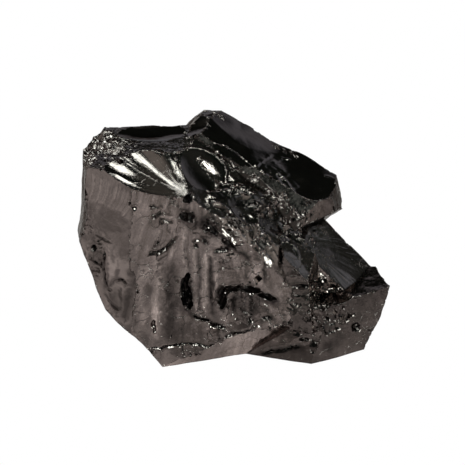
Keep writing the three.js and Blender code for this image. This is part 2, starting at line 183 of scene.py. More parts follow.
# What each fracture carries besides its sheet, at places of the view: x rightwards
# and y down from its top left corner, in steps of 1/465 of its width. Widths are in
# steps too, heights and depths in mm.
#
# "line" is corners, half width, height; "cliff" is corners, drop to the left of it,
# fade; "dent" is middle, half width, half height, depth, sharpness; "facets" is
# middle, half width, half height, cell, height; "fan" is two ends of the near side,
# two of the far side, lines, half width, height; "fold" is corners and the slope to
# their left; "flute" is the strike and its crests as a place on each, half width in
# degrees and height per mm; "hackle" is the strike it spreads from, in the fracture's
# own mm, cells per radian, length and height. "shade" is middle, half width, half
# height, tone and "smear" is corners, half width, tone: both only change the tone.
# Shade and smear marks paint shade and light into the colour: below 1 they are painted shade, above 1 painted
# highlights.
marks = {
    "body.frontLeft": (
        # ripples under the shell's rim
        ("fan", (92, 168), (137, 195), (88, 200), (122, 218), 13, 0.9, 0.1),
        # the chain of chips down the left
        ("line", ((90, 237), (95, 243), (102, 238), (105, 241), (114, 243)), 1.0, -0.16),
        ("line", ((96, 245), (103, 244)), 1.0, -0.2),
        ("cliff", ((101, 241), (103, 255), (103, 268), (104, 280), (107, 288)), 0.25, 9),
        ("line", ((103, 266), (104, 280), (108, 289), (112, 293)), 1.1, -0.16),
        ("line", ((108, 287), (114, 281), (121, 280), (127, 283)), 1.1, -0.22),
        ("cliff", ((130, 283), (120, 280), (113, 282), (108, 288), (110, 296)), 0.16, 8),
        ("dent", (93, 248), 2.2, 3, 0.8, 2),
        ("dent", (96, 262), 8, 14, 0.5, 1.5),
        ("dent", (111, 264), 7, 18, -0.25, 2),
        ("dent", (116, 303), 6, 13, 0.3, 1.5),
        ("line", ((104, 292), (111, 303), (118, 311)), 1.2, -0.2),
        ("dent", (92, 212), 6, 9, 0.12, 1),
        ("facets", (97, 255), 9, 26, 4, 0.22),
        ("facets", (88, 228), 6, 10, 3.5, 0.2),
        ("facets", (83, 208), 5, 16, 3, 0.35),
        # the dark hollow beside the edge
        ("line", ((137, 262), (131, 290), (127, 312), (122, 325)), 6, -0.22),
        ("dent", (127, 290), 7, 9, -0.15, 2),
        # painted shade (darker streaks) and painted highlights (paler streaks)
        ("smear", ((109, 250), (114, 276)), 4.5, 1.22),
        ("smear", ((93, 240), (92, 250)), 4, 0.6),
        ("smear", ((104, 262), (106, 290)), 3, 0.65),
        ("smear", ((84, 205), (82, 218)), 4, 0.35),
        ("smear", ((88, 225), (90, 236)), 4, 0.75),
        ("smear", ((126, 292), (125, 315)), 6, 0.8),
        ("smear", ((112, 296), (118, 312)), 4, 0.8),
        ("smear", ((98, 172), (92, 200)), 6, 1.12),
    ),
    "body.front": (
        # the curved crack and the ribs that follow it
        ("cliff", ((145, 257), (152, 254), (160, 252), (166, 248), (172, 242), (178, 236),
                  (181, 225)), 0.2, 10),
        ("line", ((145, 257), (152, 254), (160, 252), (166, 248), (172, 242), (178, 236)), 1.2, -0.4),
        ("line", ((150, 265), (160, 262), (168, 255), (175, 244)), 1.6, 0.12),
        ("line", ((153, 272), (163, 266), (171, 257), (178, 244)), 1.6, 0.12),
        ("line", ((180, 215), (177, 226), (172, 236)), 1.8, 0.12),
        # scratches and small dents near the top
        ("line", ((150, 208), (154, 206), (157, 209)), 0.9, -0.22),
        ("line", ((151, 216), (155, 218), (159, 214), (163, 213)), 0.9, -0.24),
        ("line", ((157, 228), (161, 219), (169, 222), (176, 222)), 1.0, -0.26),
        ("line", ((169, 222), (167, 230), (172, 235)), 1.0, -0.2),
        ("dent", (168, 217), 6, 4, -0.12, 1.5),
        ("dent", (148, 212), 4, 12, -0.12, 1.5),
        ("facets", (160, 215), 13, 10, 3, 0.08),
        # long soft columns
        ("line", ((160, 275), (160, 292), (157, 310), (158, 344)), 5, 0.22),
        ("line", ((172, 262), (170, 300), (170, 346)), 6, -0.26),
        ("line", ((146, 262), (143, 290), (147, 330)), 6, 0.15),
        ("fan", (158, 300), (160, 316), (140, 325), (150, 345), 9, 1.1, 0.07),
        ("dent", (153, 324), 1.6, 4.5, 0.7, 2),
        ("dent", (154.5, 331), 1.4, 2.4, 0.6, 2),
        ("line", ((150, 347), (160, 348), (172, 346), (181, 346)), 0.9, -0.28),
        # painted highlights on the columns and painted shade between them
        ("smear", ((144, 203), (141, 232)), 5, 1.25),
        ("smear", ((165, 212), (172, 220), (176, 232)), 7, 1.22),
        ("smear", ((158, 268), (157, 300), (156, 335)), 6, 1.25),
        ("smear", ((145, 300), (140, 322)), 7, 1.1),
        ("smear", ((171, 262), (171, 300), (172, 335)), 7, 0.78),
        ("smear", ((146, 285), (152, 295)), 5, 0.85),
        ("smear", ((152, 220), (160, 228)), 4, 0.75),
        ("smear", ((175, 240), (166, 262)), 5, 1.15),
        ("smear", ((150, 258), (165, 245)), 2, 1.25),
        # the bright ridge beside the torn lip
        ("line", ((218, 228), (224, 234), (230, 240), (236, 246), (244, 254)), 2.6, 0.38),
        # columns
        ("line", ((184, 228), (183, 250), (184, 268)), 1.6, 0.2),
        ("line", ((188, 226), (188, 255), (190, 285)), 1.2, -0.16),
        ("line", ((194, 248), (193, 280), (195, 312)), 1.8, 0.2),
        ("line", ((198, 246), (199, 280), (199, 316)), 1.3, -0.15),
        ("line", ((204.5, 250), (203.5, 285), (206, 316)), 2.2, 0.4),
        ("line", ((211, 254), (210, 280), (212, 310)), 1.4, -0.25),
        ("line", ((215, 272), (216, 285), (214, 305)), 1.3, 0.3),
        # cracks and broken steps below them
        ("cliff", ((228, 328), (215, 325), (207, 321), (200, 319), (193, 315)), 0.5, 7),
        ("line", ((192, 314), (198, 318), (207, 321), (214, 325), (226, 328)), 1.4, -0.4),
        ("cliff", ((222, 330.5), (208, 328.5)), 0.4, 3),
        ("line", ((208, 328.6), (228, 331)), 0.9, 0.3),
        ("line", ((228, 331), (226, 338), (232, 333), (243, 333), (251, 331), (253, 327),
                  (259, 324)), 1.0, -0.3),
        ("line", ((248, 327), (251, 318)), 0.9, -0.25),
        ("cliff", ((208, 330), (208, 343)), 0.2, 6),
        ("line", ((155, 348), (175, 346), (181, 344), (200, 344), (208, 347), (222, 343)), 1.0, -0.34),
        ("line", ((181, 343), (183, 351), (186, 358)), 1.1, -0.25),
        ("line", ((208, 347), (212, 353), (219, 360)), 0.8, -0.18),
        ("line", ((214, 252), (220, 249.5), (230, 248)), 1.3, -0.34),
        ("line", ((191, 243), (196, 241.5), (201, 243)), 1.2, 0.3),
        ("line", ((193, 246), (199, 247)), 1.4, -0.45),
        ("line", ((203, 240), (207, 243)), 1.4, -0.4),
        # broken patches under the round hole, darkened with painted shade
        ("facets", (187, 216), 8, 8, 3, 0.4),
        ("facets", (206, 226), 16, 11, 3.4, 0.3),
        ("shade", (206, 228), 12, 10, 0.6),
        ("shade", (187, 217), 7, 6, 0.5),
        # plates right of the columns
        ("facets", (226, 266), 15, 14, 3, 0.14),
        ("dent", (228, 256), 14, 8, -0.15, 2),
        ("line", ((217, 284), (232, 286), (246, 281)), 1.6, 0.2),
        # a painted highlight on the pale band right of the plates
        ("shade", (254, 273), 6, 11, 1.3),
        ("line", ((246, 262), (245, 284)), 1.2, -0.16),
        ("line", ((264, 258), (264, 285)), 1.2, -0.2),
        ("line", ((267, 262), (267, 280)), 1.4, 0.2),
        # inside of the arched hollow
        ("dent", (243, 309), 21, 19, 0.6, 2),
        ("line", ((228, 296), (226, 325)), 1.8, 0.3),
        ("line", ((234, 296), (233, 316)), 1.3, -0.3),
        ("line", ((242, 288), (244, 305)), 1.1, 0.35),
        ("line", ((250, 295), (251, 318)), 1.2, -0.2),
        ("line", ((258, 309), (264, 305), (269, 308), (272, 314)), 1.1, 0.25),
        ("line", ((262, 319), (267, 317), (274, 318)), 1.3, -0.35),
        ("facets", (246, 312), 18, 14, 4, 0.16),
        # the rounded facet at the right
        ("dent", (290, 322), 9, 15, -0.3, 1.5),
        ("line", ((292, 326), (290, 342)), 1.5, 0.35),
        ("line", ((284, 318), (283, 340)), 1.2, -0.2),
        ("facets", (290, 334), 7, 9, 2.6, 0.25),
        ("facets", (268, 326), 16, 12, 5, 0.07),
        # painted shade and painted highlights: the arch's painted shadow under its overhang, dark halos round
        # the pits and cracks, and a painted glint on the broken step
        ("smear", ((184, 213), (192, 222)), 7, 0.3),
        ("smear", ((197, 212), (204, 220)), 7, 0.6),
        ("smear", ((206, 222), (218, 234)), 8, 0.4),
        ("smear", ((211, 214), (217, 226)), 4, 0.4),
        ("smear", ((222, 234), (230, 244), (239, 252), (248, 257)), 3.5, 0.16),
        ("smear", ((203, 240), (207, 243)), 3, 0.4),
        ("smear", ((214, 252), (222, 249), (229, 247)), 1.8, 0.3),
        ("smear", ((185, 206), (210, 216), (222, 222)), 4, 1.15),
        ("smear", ((210, 240), (222, 247)), 5, 1.25),
        ("smear", ((183, 228), (186, 252)), 4, 1.22),
        ("smear", ((205, 254), (205, 285), (205, 313)), 1.8, 1.55),
        ("smear", ((196, 262), (194, 290)), 2, 1.25),
        ("smear", ((200, 258), (200, 300)), 1.4, 0.7),
        ("smear", ((210, 260), (211, 285), (212, 312)), 2.6, 0.45),
        ("smear", ((217, 275), (214, 292), (213, 302)), 0.9, 2.2),
        ("smear", ((190, 285), (187, 308)), 6, 0.22),
        ("smear", ((230, 256), (245, 270)), 7, 1.2),
        ("smear", ((226, 266), (240, 280)), 8, 0.72),
        ("smear", ((258, 264), (257, 282)), 4, 1.45),
        ("smear", ((248, 262), (247, 280)), 1.6, 0.6),
        ("smear", ((265, 256), (266, 282)), 2, 0.5),
        ("smear", ((219, 290), (221, 298), (224, 306)), 4.5, 0.15),
        ("smear", ((221, 288), (240, 287), (252, 290), (266, 296), (275, 303)), 3.6, 0.16),
        ("smear", ((236, 294), (234, 312)), 2, 0.4),
        ("smear", ((246, 298), (254, 306)), 8, 0.5),
        ("smear", ((240, 309), (244, 312)), 2, 0.2),
        ("smear", ((228, 305), (226, 320)), 4, 1.3),
        ("smear", ((247, 300), (248, 310)), 1.6, 2.0),
        ("smear", ((243, 287), (245, 296)), 0.8, 2.2),
        ("smear", ((262, 305), (268, 300), (274, 312)), 2.4, 1.35),
        ("smear", ((190, 314), (198, 319), (208, 322)), 2.4, 0.35),
        ("smear", ((208, 322), (220, 328), (234, 331), (247, 334), (262, 331)), 2.2, 0.4),
        ("smear", ((262, 322), (272, 318)), 3.5, 0.4),
        ("smear", ((252, 312), (256, 322)), 3, 0.65),
        ("smear", ((230, 340), (260, 345)), 8, 1.15),
        ("smear", ((195, 327), (198, 340)), 6, 1.15),
        ("smear", ((208, 328.5), (227, 330)), 1.0, 2.6),
        ("smear", ((284, 305), (284, 335)), 3.5, 0.6),
        ("smear", ((292, 312), (294, 325)), 6, 1.25),
        ("smear", ((275, 262), (285, 280)), 6, 0.8),
        ("smear", ((262, 290), (282, 302)), 5, 1.1),
    ),
    "body.frontMiddle": (
        ("hackle", (6, 40), 16, 12, 0.12),
    ),
    "body.frontRight": (
        ("hackle", (-3, 40), 33, 9, 0.09),
    ),
    "body.diagonalLow": (
        # a painted highlight along the grey strip
        ("smear", ((207, 208), (222, 221), (237, 234), (249, 246)), 5, 1.6),
        # the grey strip and the torn lip beneath it
        ("line", ((204, 205), (218, 217), (235, 232), (250, 246)), 3.2, 0.1),
        ("line", ((219, 229), (229, 238), (243, 254)), 1.8, 0.7),
        ("line", ((217, 233), (226, 242), (238, 256)), 2.2, -0.7),
        ("line", ((207, 210), (222, 222), (240, 240)), 1.0, -0.25),
        ("facets", (240, 222), 14, 12, 2.6, 0.45),
        ("facets", (262, 245), 14, 12, 3.4, 0.25),
        ("line", ((250, 238), (262, 250), (276, 268)), 1.6, 0.25),
        ("line", ((268, 238), (273, 250), (279, 262)), 1.4, 0.3),
        ("line", ((271, 242), (277, 258)), 1.1, -0.3),
        # painted shadow under the torn lip
        ("smear", ((228, 248), (240, 258)), 3, 0.2),
    ),
    "body.diagonalHigh": (
        ("line", ((207, 199), (221, 205), (234, 214), (243, 220)), 1.5, 0.3),
        ("line", ((210, 203), (224, 210), (236, 219)), 1.3, -0.35),
        ("line", ((250, 211.5), (266, 212)), 1.2, -0.5),
        ("line", ((248, 214.5), (266, 215)), 1.4, 0.35),
        ("line", ((205, 192), (228, 186), (245, 184)), 1.4, 0.4),
        ("line", ((232, 188), (242, 193), (250, 195)), 1.1, 0.3),
        ("dent", (243, 203), 12, 7, 0.6, 2),
        ("facets", (270, 205), 13, 13, 2.8, 0.3),
        ("facets", (245, 224), 14, 7, 2.8, 0.25),
        ("facets", (290, 225), 12, 12, 3.4, 0.25),
        ("line", ((285, 206), (291, 215), (296, 224)), 1.5, 0.3),
        ("line", ((262, 225), (267, 240)), 1.3, 0.3),
    ),
    "slab.riser": (
        ("line", ((190, 128), (212, 148), (233, 163)), 1.2, 0.3),
        ("facets", (235, 165), 22, 10, 3, 0.18),
        ("facets", (302, 214), 12, 9, 2.4, 0.4),
        ("facets", (275, 198), 18, 10, 3, 0.22),
    ),
    "slab.top": (
        # the upper half tips back along a curve
        ("fold", ((206, 112), (213, 120), (222, 129), (235, 142), (250, 149), (268, 152), (283, 154),
                  (297, 150), (312, 140)), 0.13),
        # paired lines and the feathered break
        ("line", ((219, 144), (230, 150), (241, 157)), 1.1, 0.12),
        ("line", ((222, 149), (240, 160)), 1.0, -0.12),
        ("line", ((254, 170), (262, 161), (274, 154)), 1.3, 0.2),
        ("fan", (256, 176), (285, 200), (276, 158), (302, 186), 13, 1.3, 0.12),
        ("line", ((275, 171), (285, 180), (303, 206)), 1.2, 0.2),
        ("line", ((270, 165), (283, 158), (292, 160)), 1.3, 0.15),
        ("facets", (270, 178), 16, 12, 3.4, 0.12),
        ("line", ((324, 176), (333, 178)), 1.5, 0.15),
    ),
    "ledge.top": (
        # the lower band tips forward
        ("fold", ((366, 292), (350, 275), (330, 262), (312, 258), (300, 250)), 0.16),
        # feathering off the inner corner
        ("hackle", (-9, 5), 22, 7, 0.035),
        ("fan", (303, 228), (306, 262), (330, 226), (332, 262), 15, 1.2, 0.09),
        ("line", ((305, 228), (311, 238), (306, 243)), 1.2, 0.2),
        ("line", ((312, 228), (306, 234), (303, 243)), 1.2, 0.2),
        ("line", ((310, 264), (327, 275), (345, 288)), 1.2, 0.15),
        ("facets", (310, 240), 8, 14, 3, 0.2),
    ),
    "ledge.riser": (
        ("line", ((309, 268), (320, 276), (330, 284)), 1.4, 0.3),
        ("facets", (325, 285), 22, 9, 2.6, 0.35),
        ("line", ((312, 290), (330, 291), (345, 291)), 1.8, 0.45),
        ("line", ((315, 296), (345, 297)), 2.4, -0.5),
        ("facets", (350, 296), 10, 6, 2.6, 0.3),
    ),
    "step.riser": (
        ("line", ((284, 293), (291, 302), (299, 311)), 1.5, 0.35),
        ("line", ((281, 296), (289, 306), (297, 314)), 1.2, -0.35),
        ("line", ((281, 288), (300, 286), (318, 286)), 1.2, -0.35),
        ("dent", (300, 278), 15, 5, -0.2, 2),
        ("facets", (300, 300), 16, 16, 3.6, 0.3),
    ),
    "step.top": (
        ("fold", ((316, 282), (302, 264), (292, 253), (278, 250)), 0.12),
        ("line", ((268, 236), (273, 248), (277, 258)), 1.3, 0.25),
        ("line", ((292, 243), (297, 252), (301, 261)), 1.3, 0.25),
        ("line", ((285, 266), (291, 272)), 1.8, -0.5),
        ("facets", (284, 236), 12, 10, 3.4, 0.25),
    ),
    "scar.shelf": (
        # painted shade dims the shelf at both ends
        ("smear", ((128, 138), (154, 138)), 7, 0.35),
        ("smear", ((186, 138), (200, 138)), 6, 0.35),
    ),
    "foot.top": (
        ("line", ((333, 289), (344, 293), (358, 300)), 1.8, 0.5),
        # a painted highlight along the pale ledge
        ("smear", ((333, 290), (345, 294), (357, 299)), 4, 3.2),
        ("facets", (320, 312), 24, 12, 3, 0.5),
        ("facets", (350, 312), 10, 6, 2.4, 0.4),
    ),
    "foot.frontLeft": (
        ("facets", (305, 325), 16, 20, 3, 0.45),
        ("facets", (312, 343), 14, 7, 3.4, 0.3),
        ("line", ((258, 353), (283, 349), (305, 343)), 1.6, -0.4),
        # painted shade in the dark wedge at the bottom, and a painted highlight beside it
        ("shade", (285, 349), 26, 4, 0.55),
        ("smear", ((254, 349), (264, 344), (276, 339)), 5, 1.8),
    ),
    "foot.frontRight": (
        ("dent", (356.5, 327), 3.2, 3.2, 0.9, 2),
        ("dent", (375, 290), 8, 10, -0.12, 1),
        ("dent", (363, 315), 5, 4, 0.08, 1),
        ("line", ((388, 288), (384, 305), (374, 330)), 5, 0.2),
        ("dent", (328, 348), 8, 8, 0.2, 1),
        # painted shade in the hollow
        ("shade", (328, 347), 7, 6, 0.7),
        ("facets", (325, 325), 20, 12, 3, 0.4),
        ("facets", (345, 316), 12, 6, 2.4, 0.45),
        ("line", ((338, 316), (343, 322)), 1.2, 0.3),
        # painted shade
        ("smear", ((328, 345), (338, 340)), 7, 0.6),
        ("smear", ((316, 330), (330, 322)), 8, 0.6),
    ),
    "body.top": (
        # painted shade darkens a band of the top
        ("smear", ((135, 146), (158, 146)), 5, 0.4),
        ("facets", (105, 143), 26, 14, 3, 0.55),
    ),
    "body.leftCorner": (
        ("facets", (93, 150), 14, 24, 3, 0.55),
    ),
    "scar.shell": (
        # crests between the flutes, spread from the strike beside the round hole
        ("flute", (186, 192), (((146, 174), 7, 0.009), ((161, 165), 6, 0.006), ((139, 184), 6, 0.009))),
        ("line", ((110, 170), (126, 181), (146, 189), (177, 193)), 1.1, 0.05),
        ("line", ((167, 184), (178, 188), (185, 191)), 0.7, -0.03),
    ),
}

sharedMarks = {"body.frontMiddle": "body.front", "body.frontRight": "body.front"}  # one face, cracked in two


mixers = (374761393, 668265263, 974634777, 1274126177)  # large odd numbers that scatter the bits
word, halfWord = 0xFFFFFFFF, 0xFFFF
layers = {"shift": (7.3, -3.1), "fade": 0.55}  # each layer of noise against the one before


# a repeatable number from 0 to 1 for each whole cell, mixed from its two indices
def cellNumber(i, j, seed):
    n = (i.astype(np.int64) * mixers[0] + j.astype(np.int64) * mixers[1] + seed * mixers[2]) & word
    n = ((n ^ (n >> 13)) * mixers[3]) & word
    return ((n ^ (n >> 16)) & halfWord) / halfWord


# smooth noise from -1 to 1: cell numbers blended by 3t^2 - 2t^3 both ways
def smoothNoise(x, y, seed):
    i, j = np.floor(x), np.floor(y)
    s, t = x - i, y - j
    s, t = s * s * (3 - 2 * s), t * t * (3 - 2 * t)
    low = cellNumber(i, j, seed) * (1 - s) + cellNumber(i + 1, j, seed) * s
    high = cellNumber(i, j + 1, seed) * (1 - s) + cellNumber(i + 1, j + 1, seed) * s
    return 2 * (low * (1 - t) + high * t) - 1


# layers of smooth noise, each half the size and about half the height of the last
def layeredNoise(x, y, seed, count=3):
    shiftX, shiftY = layers["shift"]
    total, weight, reached = 0, 1.0, 0.0
    for k in range(count):
        total = total + weight * smoothNoise(x * 2 ** k + shiftX * k, y * 2 ** k + shiftY * k, seed + k)
        reached += weight
        weight *= layers["fade"]
    return total / reached


# flat tilted scales: each point takes its nearest jittered cell's offset plus that
# cell's slope . the way from it
def scaledSurface(u, v, cell, seed):
    steepness = 1.6
    x, y = u / cell, v / cell
    i0, j0 = np.floor(x), np.floor(y)
    nearest = np.full(u.shape, 1e9)
    height = np.zeros_like(u)
    for di in (-1, 0, 1):
        for dj in (-1, 0, 1):
            i, j = i0 + di, j0 + dj
            dx, dy = x - i - cellNumber(i, j, seed), y - j - cellNumber(i, j, seed + 1)
            far = dx * dx + dy * dy
            slopeX, slopeY = cellNumber(i, j, seed + 2) - 0.5, cellNumber(i, j, seed + 3) - 0.5
            tilted = cellNumber(i, j, seed + 4) - 0.5 + steepness * (dx * slopeX + dy * slopeY)
            height = np.where(far < nearest, tilted, height)
            nearest = np.minimum(far, nearest)
    return height


# for a broken line: distance, share of the way along, and which side (+1 is left)
def fromLine(u, v, corners):
    nearest = np.full(u.shape, 1e9)
    along, side = np.zeros_like(u), np.ones_like(u)
    pieces = len(corners) - 1
    for k in range(pieces):
        (a0, b0), (a1, b1) = corners[k], corners[k + 1]
        wayU, wayV = a1 - a0, b1 - b0
        share = np.clip(((u - a0) * wayU + (v - b0) * wayV) / (wayU ** 2 + wayV ** 2), 0, 1)
        far = np.hypot(u - a0 - share * wayU, v - b0 - share * wayV)
        left = np.where(wayU * (v - b0) - wayV * (u - a0) >= 0, 1.0, -1.0)
        closer = far < nearest
        along, side = np.where(closer, (k + share) / pieces, along), np.where(closer, left, side)
        nearest = np.where(closer, far, nearest)
    return nearest, along, side


# a ridge or groove: height * exp(-(distance / width)^2), tapering out over the last
# sixth at both ends
def lineHeight(u, v, corners, width, height):
    far, along, _ = fromLine(u, v, corners)
    ends, thinnest = 6, 0.15
    taper = np.clip(ends * np.minimum(along, 1 - along), thinnest, 1)
    return height * taper * np.exp(-(far / (width * (0.5 + 0.5 * taper))) ** 2)


# a broken step: -drop * exp(-distance / fade) on the left side alone, none at the ends
def cliffHeight(u, v, corners, drop, fade):
    far, along, side = fromLine(u, v, corners)
    ends = 5
    taper = np.clip(ends * np.minimum(along, 1 - along), 0, 1)
    return np.where(side > 0, -drop * taper * np.exp(-far / fade), 0)


# how far out a point is in an oval with these half axes: 1 on its rim
def ovalRadius(u, v, at, a, b):
    area = a[0] * b[1] - a[1] * b[0]
    x = ((u - at[0]) * b[1] - (v - at[1]) * b[0]) / area
    y = ((v - at[1]) * a[0] - (u - at[0]) * a[1]) / area
    return np.hypot(x, y)


# an oval hollow: -depth * exp(-radius^(2 * sharpness))
def dentHeight(u, v, at, a, b, depth, sharpness):
    farEnough = 4  # nothing is left of it out here
    return -depth * np.exp(-np.minimum(ovalRadius(u, v, at, a, b), farEnough) ** (2 * sharpness))


# tilted scales inside an oval, small ones on large: height * (small + large), fading
# in a straight line to nothing just past the rim
def facetsHeight(u, v, at, a, b, cell, height):
    fade, rim, larger = 1.6, 1.15, 2.3
    inside = np.clip(fade * (rim - ovalRadius(u, v, at, a, b)), 0, 1)
    wobble = 0.35 * cell
    du = wobble * smoothNoise(u / cell, v / cell, 31)
    dv = wobble * smoothNoise(u / cell, v / cell, 32)
    small, large = scaledSurface(u + du, v + dv, cell, 5), scaledSurface(u, v, cell * larger, 9)
    return height * inside * (small + large)


# ridges fanned from one line of starts to one line of ends, uneven in place and height
def fanHeight(u, v, start0, start1, end0, end1, count, width, height):
    uneven, sag = 0.35, 0.06
    total = np.zeros_like(u)
    for k in range(count):
        t = (k + 0.5 + uneven * math.sin(7.1 * k)) / count
        start = [a + t * (b - a) for a, b in zip(start0, start1)]
        end = [a + t * (b - a) for a, b in zip(end0, end1)]
        middle = [0.5 * (a + b) for a, b in zip(start, end)]
        middle = [middle[0] - sag * (end[1] - start[1]), middle[1] + sag * (end[0] - start[0])]
        share = 1 - uneven + uneven * math.sin(3.7 * k + 1)
        total += lineHeight(u, v, (start, middle, end), width, height * share)
    return total


# a fold along a broken line: -slope * distance on its left side
def foldHeight(u, v, corners, slope):
    far, _, side = fromLine(u, v, corners)
    return np.where(side > 0, -slope * far, 0)


# hackle that spreads from a strike: height * noise(bearing * cells, distance / length)
def hackleHeight(u, v, strike, cells, length, height):
    du, dv = u - strike[0], v - strike[1]
    return height * layeredNoise(np.arctan2(du, -dv) * cells, np.hypot(du, dv) / length, 61)


# sharp crests between the flutes of a strike: distance from it * the sum of
# height * exp(-|bearing - crest's bearing| / width)
def fluteHeight(u, v, strike, ridges):
    du, dv = u - strike[0], v - strike[1]
    bearing = np.degrees(np.arctan2(dv, du))
    total = np.zeros_like(u)
    for middle, width, height in ridges:
        total += height * np.exp(-np.abs((bearing - middle + 180) % 360 - 180) / width)
    return total * np.hypot(du, dv)


# a patch of painted shade and light with a ragged rim: 1 + (tone - 1) * (fade * (1 - radius) + rim * noise),
# with the bracket kept from 0 to 1
def shadeTone(u, v, at, a, b, tone):
    fade, rim, blotch = 2.2, 0.9, 0.9
    wander = rim * layeredNoise(u / blotch, v / blotch, 55)
    return 1 + (tone - 1) * np.clip(fade * (1 - ovalRadius(u, v, at, a, b)) + wander, 0, 1)


# a streak of painted shade and light along a line: 1 + (tone - 1) * exp(-(distance / width)^2) * (1 + cloudy
# * noise)
def smearTone(u, v, corners, width, tone):
    far, _, _ = fromLine(u, v, corners)
    cloudy, blotch = 0.6, 0.7
    smoke = 1 + cloudy * layeredNoise(u / blotch, v / blotch, 57)
    return 1 + (tone - 1) * np.clip(smoke * np.exp(-(far / width) ** 2), 0, 1)


markHeight = {"line": lineHeight, "cliff": cliffHeight, "dent": dentHeight, "facets": facetsHeight,
              "fan": fanHeight, "flute": fluteHeight, "fold": foldHeight, "hackle": hackleHeight}
markTone = {"shade": shadeTone, "smear": smearTone}

# painted shade and light from a mark's height: how much darker it makes what lies lower, and lighter what
# stands up, per mm
paintedShadeGain = {"line": 2.4, "cliff": 0.5, "dent": 0.8, "facets": 0.9, "fan": 5.0, "hackle": 2.0}
deepestPaintedShade = {"line": 0.5, "dent": 0.35, "facets": 0.5, "cliff": 0.3, "fan": 0.3, "hackle": 0.3}
brightestPaintedLight, toneRange = 1.45, (0.08, 2.2)  # of one mark, and of all marks together


# shifts a place by a little noise, so that marks get ragged outlines
def ragged(u, v):
    wander, length = lump["ragged"]
    return (u + wander * layeredNoise(u / length, v / length, 41, 2),
            v + wander * layeredNoise(u / length + 9, v / length, 42, 2))


# a view place on a fracture's sheet, as its u and v: where the ray through it meets
# the plane at the sheet's height there, with the miss halved each time
def onSheet(fracture, place):
    across, up, out = faceAxes(fracture)
    x, y = [(along / viewLook["steps"] - 0.5) * viewLook["sensor"] / viewLook["lens"] for along in place]
    ray = viewForward + np.array((x, 0, 0)) - y * viewUp
    height = 0.0
    for _ in range(12):
        level = np.array(fracture["at"]) + height * out
        away = viewEye + ray * ((level - viewEye) @ out) / (ray @ out) - np.array(fracture["at"])
        u, v = away @ across, away @ up
        height = 0.5 * (height + sheetHeight(fracture, u, v))
    return np.array((u, v))


# a mark with its view places turned into u and v, and its widths into mm
def placedMark(fracture, kind, values):
    step = viewLook["step"]
    if kind in ("line", "smear", "cliff", "fold"):
        corners = [onSheet(fracture, place) for place in values[0]]
        if kind == "fold":
            return kind, (corners, values[1])
        if kind == "cliff":
            return kind, (corners, values[1], values[2] * step)
        return kind, (corners, values[1] * step, values[2])
    if kind in ("dent", "facets", "shade"):
        (x, y), wide, high, first, *rest = values
        middle = onSheet(fracture, (x, y))
        a, b = onSheet(fracture, (x + wide, y)) - middle, onSheet(fracture, (x, y - high)) - middle
        return kind, (middle, a, b, first * step if kind == "facets" else first, *rest)
    if kind == "fan":
        ends = [onSheet(fracture, place) for place in values[:4]]
        return kind, (*ends, values[4], values[5] * step, values[6])
    if kind == "flute":
        strike = onSheet(fracture, values[0])
        crests = []
        for place, width, height in values[1]:
            u, v = onSheet(fracture, place) - strike
            crests.append((math.degrees(math.atan2(v, u)), width, height))
        return kind, (strike, crests)
    return kind, values


# the height of all marks of a fracture together, and how they change its tone
def marksOf(fracture, name, u, v):
    height, tone = np.zeros_like(u), np.ones_like(u)
    raggedU, raggedV = ragged(u, v)
    for kind, *values in (*marks.get(name, ()), *marks.get(sharedMarks.get(name), ())):
        kind, values = placedMark(fracture, kind, values)
        at = (u, v) if kind in ("fan", "flute", "fold", "hackle") else (raggedU, raggedV)
        if kind in markTone:
            tone *= markTone[kind](*at, *values)
            continue
        one = markHeight[kind](*at, *values)
        height += one
        if kind in paintedShadeGain:
            tone *= np.clip(1 + paintedShadeGain[kind] * one, deepestPaintedShade[kind], brightestPaintedLight)
    return height, np.clip(tone, *toneRange)


# sum of crossed sine waves, each shorter, lower and turned from the one before
def unevenness(u, v, fracture):
    waves = lump["waves"]
    start = math.radians(fracture["turn"] + fracture["lean"])
    height = np.zeros_like(u)
    size, length, way = fracture["wave"], waves["length"], start
    for k in range(1, waves["count"] + 1):
        along = u * math.cos(way) + v * math.sin(way)
        height += size * np.sin(2 * math.pi * along / length + k * start)
        size *= waves["fade"]
        length *= waves["shrink"]
        way += math.radians(waves["turn"])
    return height


# height over the tangent plane = waves - bow across * (u/10)^2 - bow up * (v/10)^2,
# plus a steep side * (u/10)^2 for u > 0
def sheetHeight(fracture, u, v):
    bowAcross, bowUp = fracture["bow"]
    height = unevenness(u, v, fracture) - bowAcross * (u / 10) ** 2 - bowUp * (v / 10) ** 2
    return height + fracture["steep"] * (np.maximum(u, 0) / 10) ** 2


# the sheet as it shows: its main shape, a fine grain of layered noise and its marks
def fullHeight(fracture, name, u, v):
    height = sheetHeight(fracture, u, v)
    size, length = fracture["grain"]
    ownSeed = 11 + sum(map(ord, name))
    height += size * layeredNoise(u / length, v / length, ownSeed)
    return height + marksOf(fracture, name, u, v)[0]


# the axes of a fracture: out = (sin turn cos lean, -cos turn cos lean, sin lean),
# across lies level to its right, and up = out x across
def faceAxes(fracture):
    t, l = math.radians(fracture["turn"]), math.radians(fracture["lean"])
    out = np.array((math.sin(t) * math.cos(l), -math.cos(t) * math.cos(l), math.sin(l)))
    across = np.array((math.cos(t), math.sin(t), 0.0))
    return across, np.cross(out, across), out


# a property of all vertices, edges, faces or loops as one array, a row for each
def readArray(data, key, width=1, kind=float):
    values = np.empty(len(data) * width, kind)
    data.foreach_get(key, values)
    return values if width == 1 else values.reshape(-1, width)


